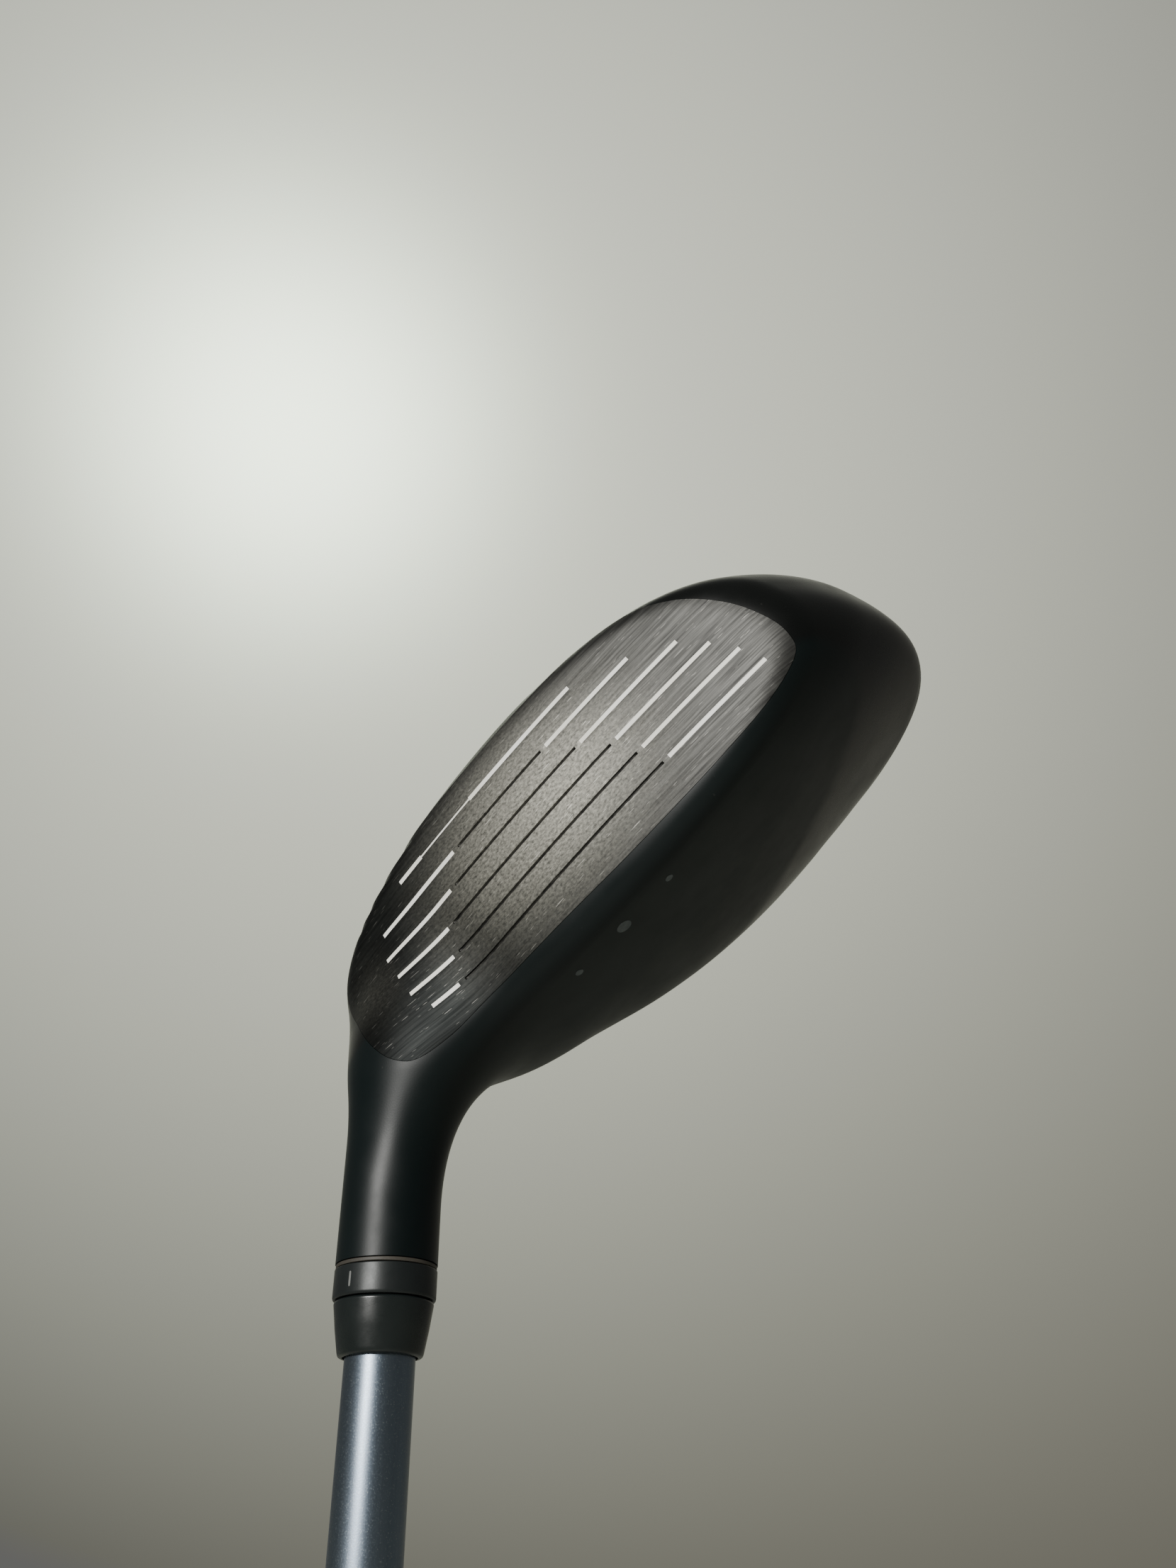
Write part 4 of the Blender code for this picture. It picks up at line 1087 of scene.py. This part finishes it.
RIB_PITCH = 2.4 * MM
RIB_DEPTH = 0.25 * MM
RIB_WIDTH = 0.24
RIB_REACH = 2.6 * MM


# The cap from its rim over the seat, the vent hole and two shallow rings to its edge
CAP_PROFILE_MM = (
    (15.0, 1.0), (15.0, 3.0), (2.2, 3.0), (2.2, 0.0), (6.2, 0.0), (6.5, 0.3), (6.9, 0.3),
    (7.2, 0.0), (11.4, 0.0), (11.7, 0.3), (12.1, 0.3), (12.4, 0.0), (14.0, 0.0), (14.7, 0.3),
)


def grip_radius(height):
    share = height / GRIP_LENGTH
    radius = GRIP_BUTT_R + (GRIP_MOUTH_R - GRIP_BUTT_R) * share**0.85
    flare = max(0.0, 1 - (height - GRIP_START) / GRIP_FLARE) ** 2
    return radius + (GRIP_FLARE_R - GRIP_BUTT_R) * flare


def groove_share(phase, width):
    """1 in the middle of a groove that repeats every whole phase, 0 away from it."""
    off = np.abs(phase - np.round(phase)) / width
    return np.clip(1 - off**2, 0, 1)


def grip_relief(height, angle):
    """How deep the rubber's pattern is: crossed grooves in two zones, ribs at their ends."""
    depth = np.zeros(np.broadcast(height, angle).shape)
    along = height / CHECK_PITCH
    turns = angle / (2 * math.pi) * CHECK_ROUND
    crossed = np.maximum(*(groove_share(along + way * turns, CHECK_WIDTH) for way in (1, -1)))
    for low, high in CHECK_ZONES:
        edge = ramp(np.minimum(height - low, high - height), 0, CHECK_FADE)
        depth = np.maximum(depth, CHECK_DEPTH * edge * crossed)
        for border in (low - CHECK_FADE, high + CHECK_FADE):
            near = np.abs(height - border) < RIB_REACH
            ribs = groove_share((height - border) / RIB_PITCH, RIB_WIDTH)
            depth = np.maximum(depth, np.where(near, RIB_DEPTH * ribs, 0.0))
    return depth


def build_grip(mats):
    heights = np.linspace(GRIP_START, GRIP_LENGTH, GRIP_ROWS)
    angles = circle_angles(GRIP_AROUND)
    base = np.array([grip_radius(height) for height in heights])
    end_round = ramp(heights, GRIP_LENGTH - GRIP_END_ROUND, GRIP_LENGTH) ** 2
    outer = base - GRIP_END_DROP * end_round
    rings = list(zip(outer[:, None] - grip_relief(heights[:, None], angles[None, :]), heights))
    for height in np.linspace(GRIP_LENGTH, GRIP_START, GRIP_BORE_ROWS):
        rings.append((np.full(GRIP_AROUND, shaft_radius(height) + GRIP_BORE_GAP), height))
    flat_ring = np.full(GRIP_AROUND, 1.0)
    points = np.vstack([
        np.column_stack((radius * np.cos(angles), radius * np.sin(angles), height * flat_ring))
        for radius, height in rings
    ])
    faces = skin_faces(len(rings), GRIP_AROUND)
    faces += rim(GRIP_AROUND, (len(rings) - 1) * GRIP_AROUND, 0)
    grip = piece("moulded_grip", points, faces, mats["rubber"], SHAFT, 50)
    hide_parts("grip")
    cap = [(radius * MM, height * MM) for radius, height in CAP_PROFILE_MM]
    lathe("butt_cap", rounded(cap, 0.15 * MM),
          mats["cap_plastic"], SHAFT, ("grip_cap",), 128)


CAD_LOOKS = {
    "grip_tape": "grip_tape", "butt_plug": "plug_foam", "tip_plug": "brass_plug",
    "tungsten_slug": "tungsten", "damping_pad": "plug_foam",
}
BRUSHED = {
    "sole_steel": ((0.20, 0.195, 0.185), (0.34, 0.335, 0.32), 0.36, (60, 60, 2400)),
    "turned_steel": ((0.38, 0.375, 0.36), (0.52, 0.51, 0.49), 0.3),
    "brass_plug": ((0.50, 0.34, 0.14), (0.66, 0.47, 0.21), 0.35),
    "tungsten": ((0.17, 0.17, 0.175), (0.26, 0.26, 0.27), 0.42),
}
SATIN = {
    "anodised": ((0.010, 0.013, 0.0135), (0.0155, 0.019, 0.0195), 0.40, 4200, 0.06, 0.25),
    "ferrule_plastic": ((0.006, 0.009, 0.009), (0.010, 0.0135, 0.0135), 0.30, 3000, 0.04),
    "seam": ((0.028, 0.025, 0.020), (0.070, 0.062, 0.050), 0.6, 1800, 0.4),
    "mark_paint": ((0.12, 0.125, 0.12), (0.20, 0.205, 0.20), 0.5, 3000, 0.1),
    "cap_plastic": ((0.013, 0.013, 0.013), (0.022, 0.022, 0.022), 0.5, 2500, 0.15),
}
FOAM = {
    "grip_tape": ((0.50, 0.44, 0.32), (0.66, 0.60, 0.47)),
    "plug_foam": ((0.10, 0.10, 0.10), (0.19, 0.19, 0.19)),
}


def build_object():
    own = (head_paint, face_steel, groove_white, shaded_groove_steel, dot_paint, shaft_paint, rubber)
    mats = {make.__name__: make() for make in own}
    for make, looks in ((brushed_metal, BRUSHED), (satin_plastic, SATIN), (soft_foam, FOAM)):
        for name, values in looks.items():
            mats[name] = make(name, *values)
    for node, look in CAD_LOOKS.items():
        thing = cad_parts[node]
        thing.data.materials.clear()
        thing.data.materials.append(mats[look])
    face_outline = build_face(mats)
    build_shell(mats, face_outline)
    build_sole(mats)
    build_dots(mats)
    build_connector(mats)
    build_collar_mark(mats)
    build_shaft(mats)
    build_grip(mats)


build_object()


# --- Floor, backdrop, light and camera ---
FLOOR_HALF = 40.0


def build_floor():
    mesh = bpy.data.meshes.new("floor")
    corners = [(x * FLOOR_HALF, y * FLOOR_HALF, 0) for x, y in ((-1, -1), (1, -1), (1, 1), (-1, 1))]
    mesh.from_pydata(corners, [], [(0, 1, 2, 3)])
    floor = bpy.data.objects.new("floor", mesh)
    bpy.context.scene.collection.objects.link(floor)
    look = Paint("floor", (0.62, 0.62, 0.59), 0.85)
    look.colour(look.mottle(look.noise(3, 4), (0.60, 0.60, 0.57), (0.66, 0.66, 0.63)))
    mesh.materials.append(look.mat)


CAMERA_LENS = 27.16
CAMERA_SENSOR = 36
CAMERA_NEAR = 0.005
CAMERA_PLACE = (0.13291, -0.11353, 0.90996)
CAMERA_RIGHT = Vector((0.75973, 0.65005, -0.01592))
CAMERA_UP = Vector((0.36896, -0.41079, 0.83374))
CAMERA_BACK = Vector((0.53543, -0.63929, -0.55193))
# The wall's brightness falls away from the lamp's glow, which is up and to the left
GLOW_DIRECTION = (-0.5722, 0.3231, 0.7538)
GLOW_WIDTH = 0.0103
WALL_WIDTH = 0.3065
GLOW_COLOUR = (2.284, 2.610, 2.059)
WALL_COLOUR = (1.305, 1.341, 1.109)
WALL_BASE = (-0.258, -0.270, -0.2145)
SLOPE_RIGHT = (0.292, 0.294, 0.238)
SLOPE_UP = (-0.123, -0.123, -0.083)
# The wall turns dim behind the camera: where it is dimmest, where it is full (cosines of the
# angle from straight ahead) and its share of light there
WALL_ENDS = (-0.3, 0.7)
WALL_BEHIND = 0.08
WALL_DARKEST = (0.13, 0.131, 0.124)
WALL_BRIGHTEST = (4.0, 4.0, 3.6)


def build_world():
    """A plain wall seen in every direction: a soft lamp's glow and the fall-off round it."""
    world = bpy.data.worlds.new("studio")
    bpy.context.scene.world = world
    wall = Nodes(world)
    coords = wall.node("ShaderNodeTexCoord")
    direction = wall.vector_math("NORMALIZE", coords.outputs["Generated"])
    away = wall.math("SUBTRACT", 1.0, wall.vector_math("DOT_PRODUCT", direction, GLOW_DIRECTION))
    glow = wall.math("EXPONENT", wall.math("MULTIPLY", away, -1 / GLOW_WIDTH))
    fall_off = wall.math("EXPONENT", wall.math("MULTIPLY", away, -1 / WALL_WIDTH))
    across = wall.vector_math("DOT_PRODUCT", direction, tuple(CAMERA_RIGHT))
    rise = wall.vector_math("DOT_PRODUCT", direction, tuple(CAMERA_UP))
    total = wall.scaled(GLOW_COLOUR, glow)
    for colour, amount in ((WALL_COLOUR, fall_off), (SLOPE_RIGHT, across), (SLOPE_UP, rise)):
        total = wall.vector_math("ADD", total, wall.scaled(colour, amount))
    total = wall.vector_math("ADD", total, WALL_BASE)
    ahead = wall.vector_math("DOT_PRODUCT", direction, tuple(-CAMERA_BACK))
    seen = wall.remap(ahead, *WALL_ENDS, WALL_BEHIND, 1.0, "SMOOTHSTEP")
    total = wall.vector_math("MAXIMUM", wall.scaled(total, seen), WALL_DARKEST)
    total = wall.vector_math("MINIMUM", total, WALL_BRIGHTEST)
    wall.link(total, wall.tree.nodes["Background"].inputs["Color"])


# A soft lamp in front of the face
KEY_PLACE = (0.32, -1.28, 1.24)
KEY_AIM = (0.045, 0.0, 0.97)
KEY_SIZE = 0.4
KEY_POWER = 24.0


def area_light(name, place, aim, size, power, colour=(1.0, 0.985, 0.95)):
    data = bpy.data.lights.new(name, "AREA")
    data.shape = "RECTANGLE"
    data.size = data.size_y = size
    data.energy = power
    data.color = colour
    lamp = bpy.data.objects.new(name, data)
    bpy.context.scene.collection.objects.link(lamp)
    lamp.location = place
    lamp.rotation_euler = (Vector(aim) - Vector(place)).to_track_quat("-Z", "Y").to_euler()


def build_camera():
    data = bpy.data.cameras.new("camera")
    data.lens = CAMERA_LENS
    data.sensor_width = CAMERA_SENSOR
    data.clip_start = CAMERA_NEAR
    camera = bpy.data.objects.new("camera", data)
    bpy.context.scene.collection.objects.link(camera)
    columns = Matrix((CAMERA_RIGHT, CAMERA_UP, CAMERA_BACK)).transposed()
    camera.matrix_world = Matrix.Translation(CAMERA_PLACE) @ columns.to_4x4()
    bpy.context.scene.camera = camera


build_floor()
build_world()
build_camera()
area_light("key", KEY_PLACE, KEY_AIM, KEY_SIZE, KEY_POWER)
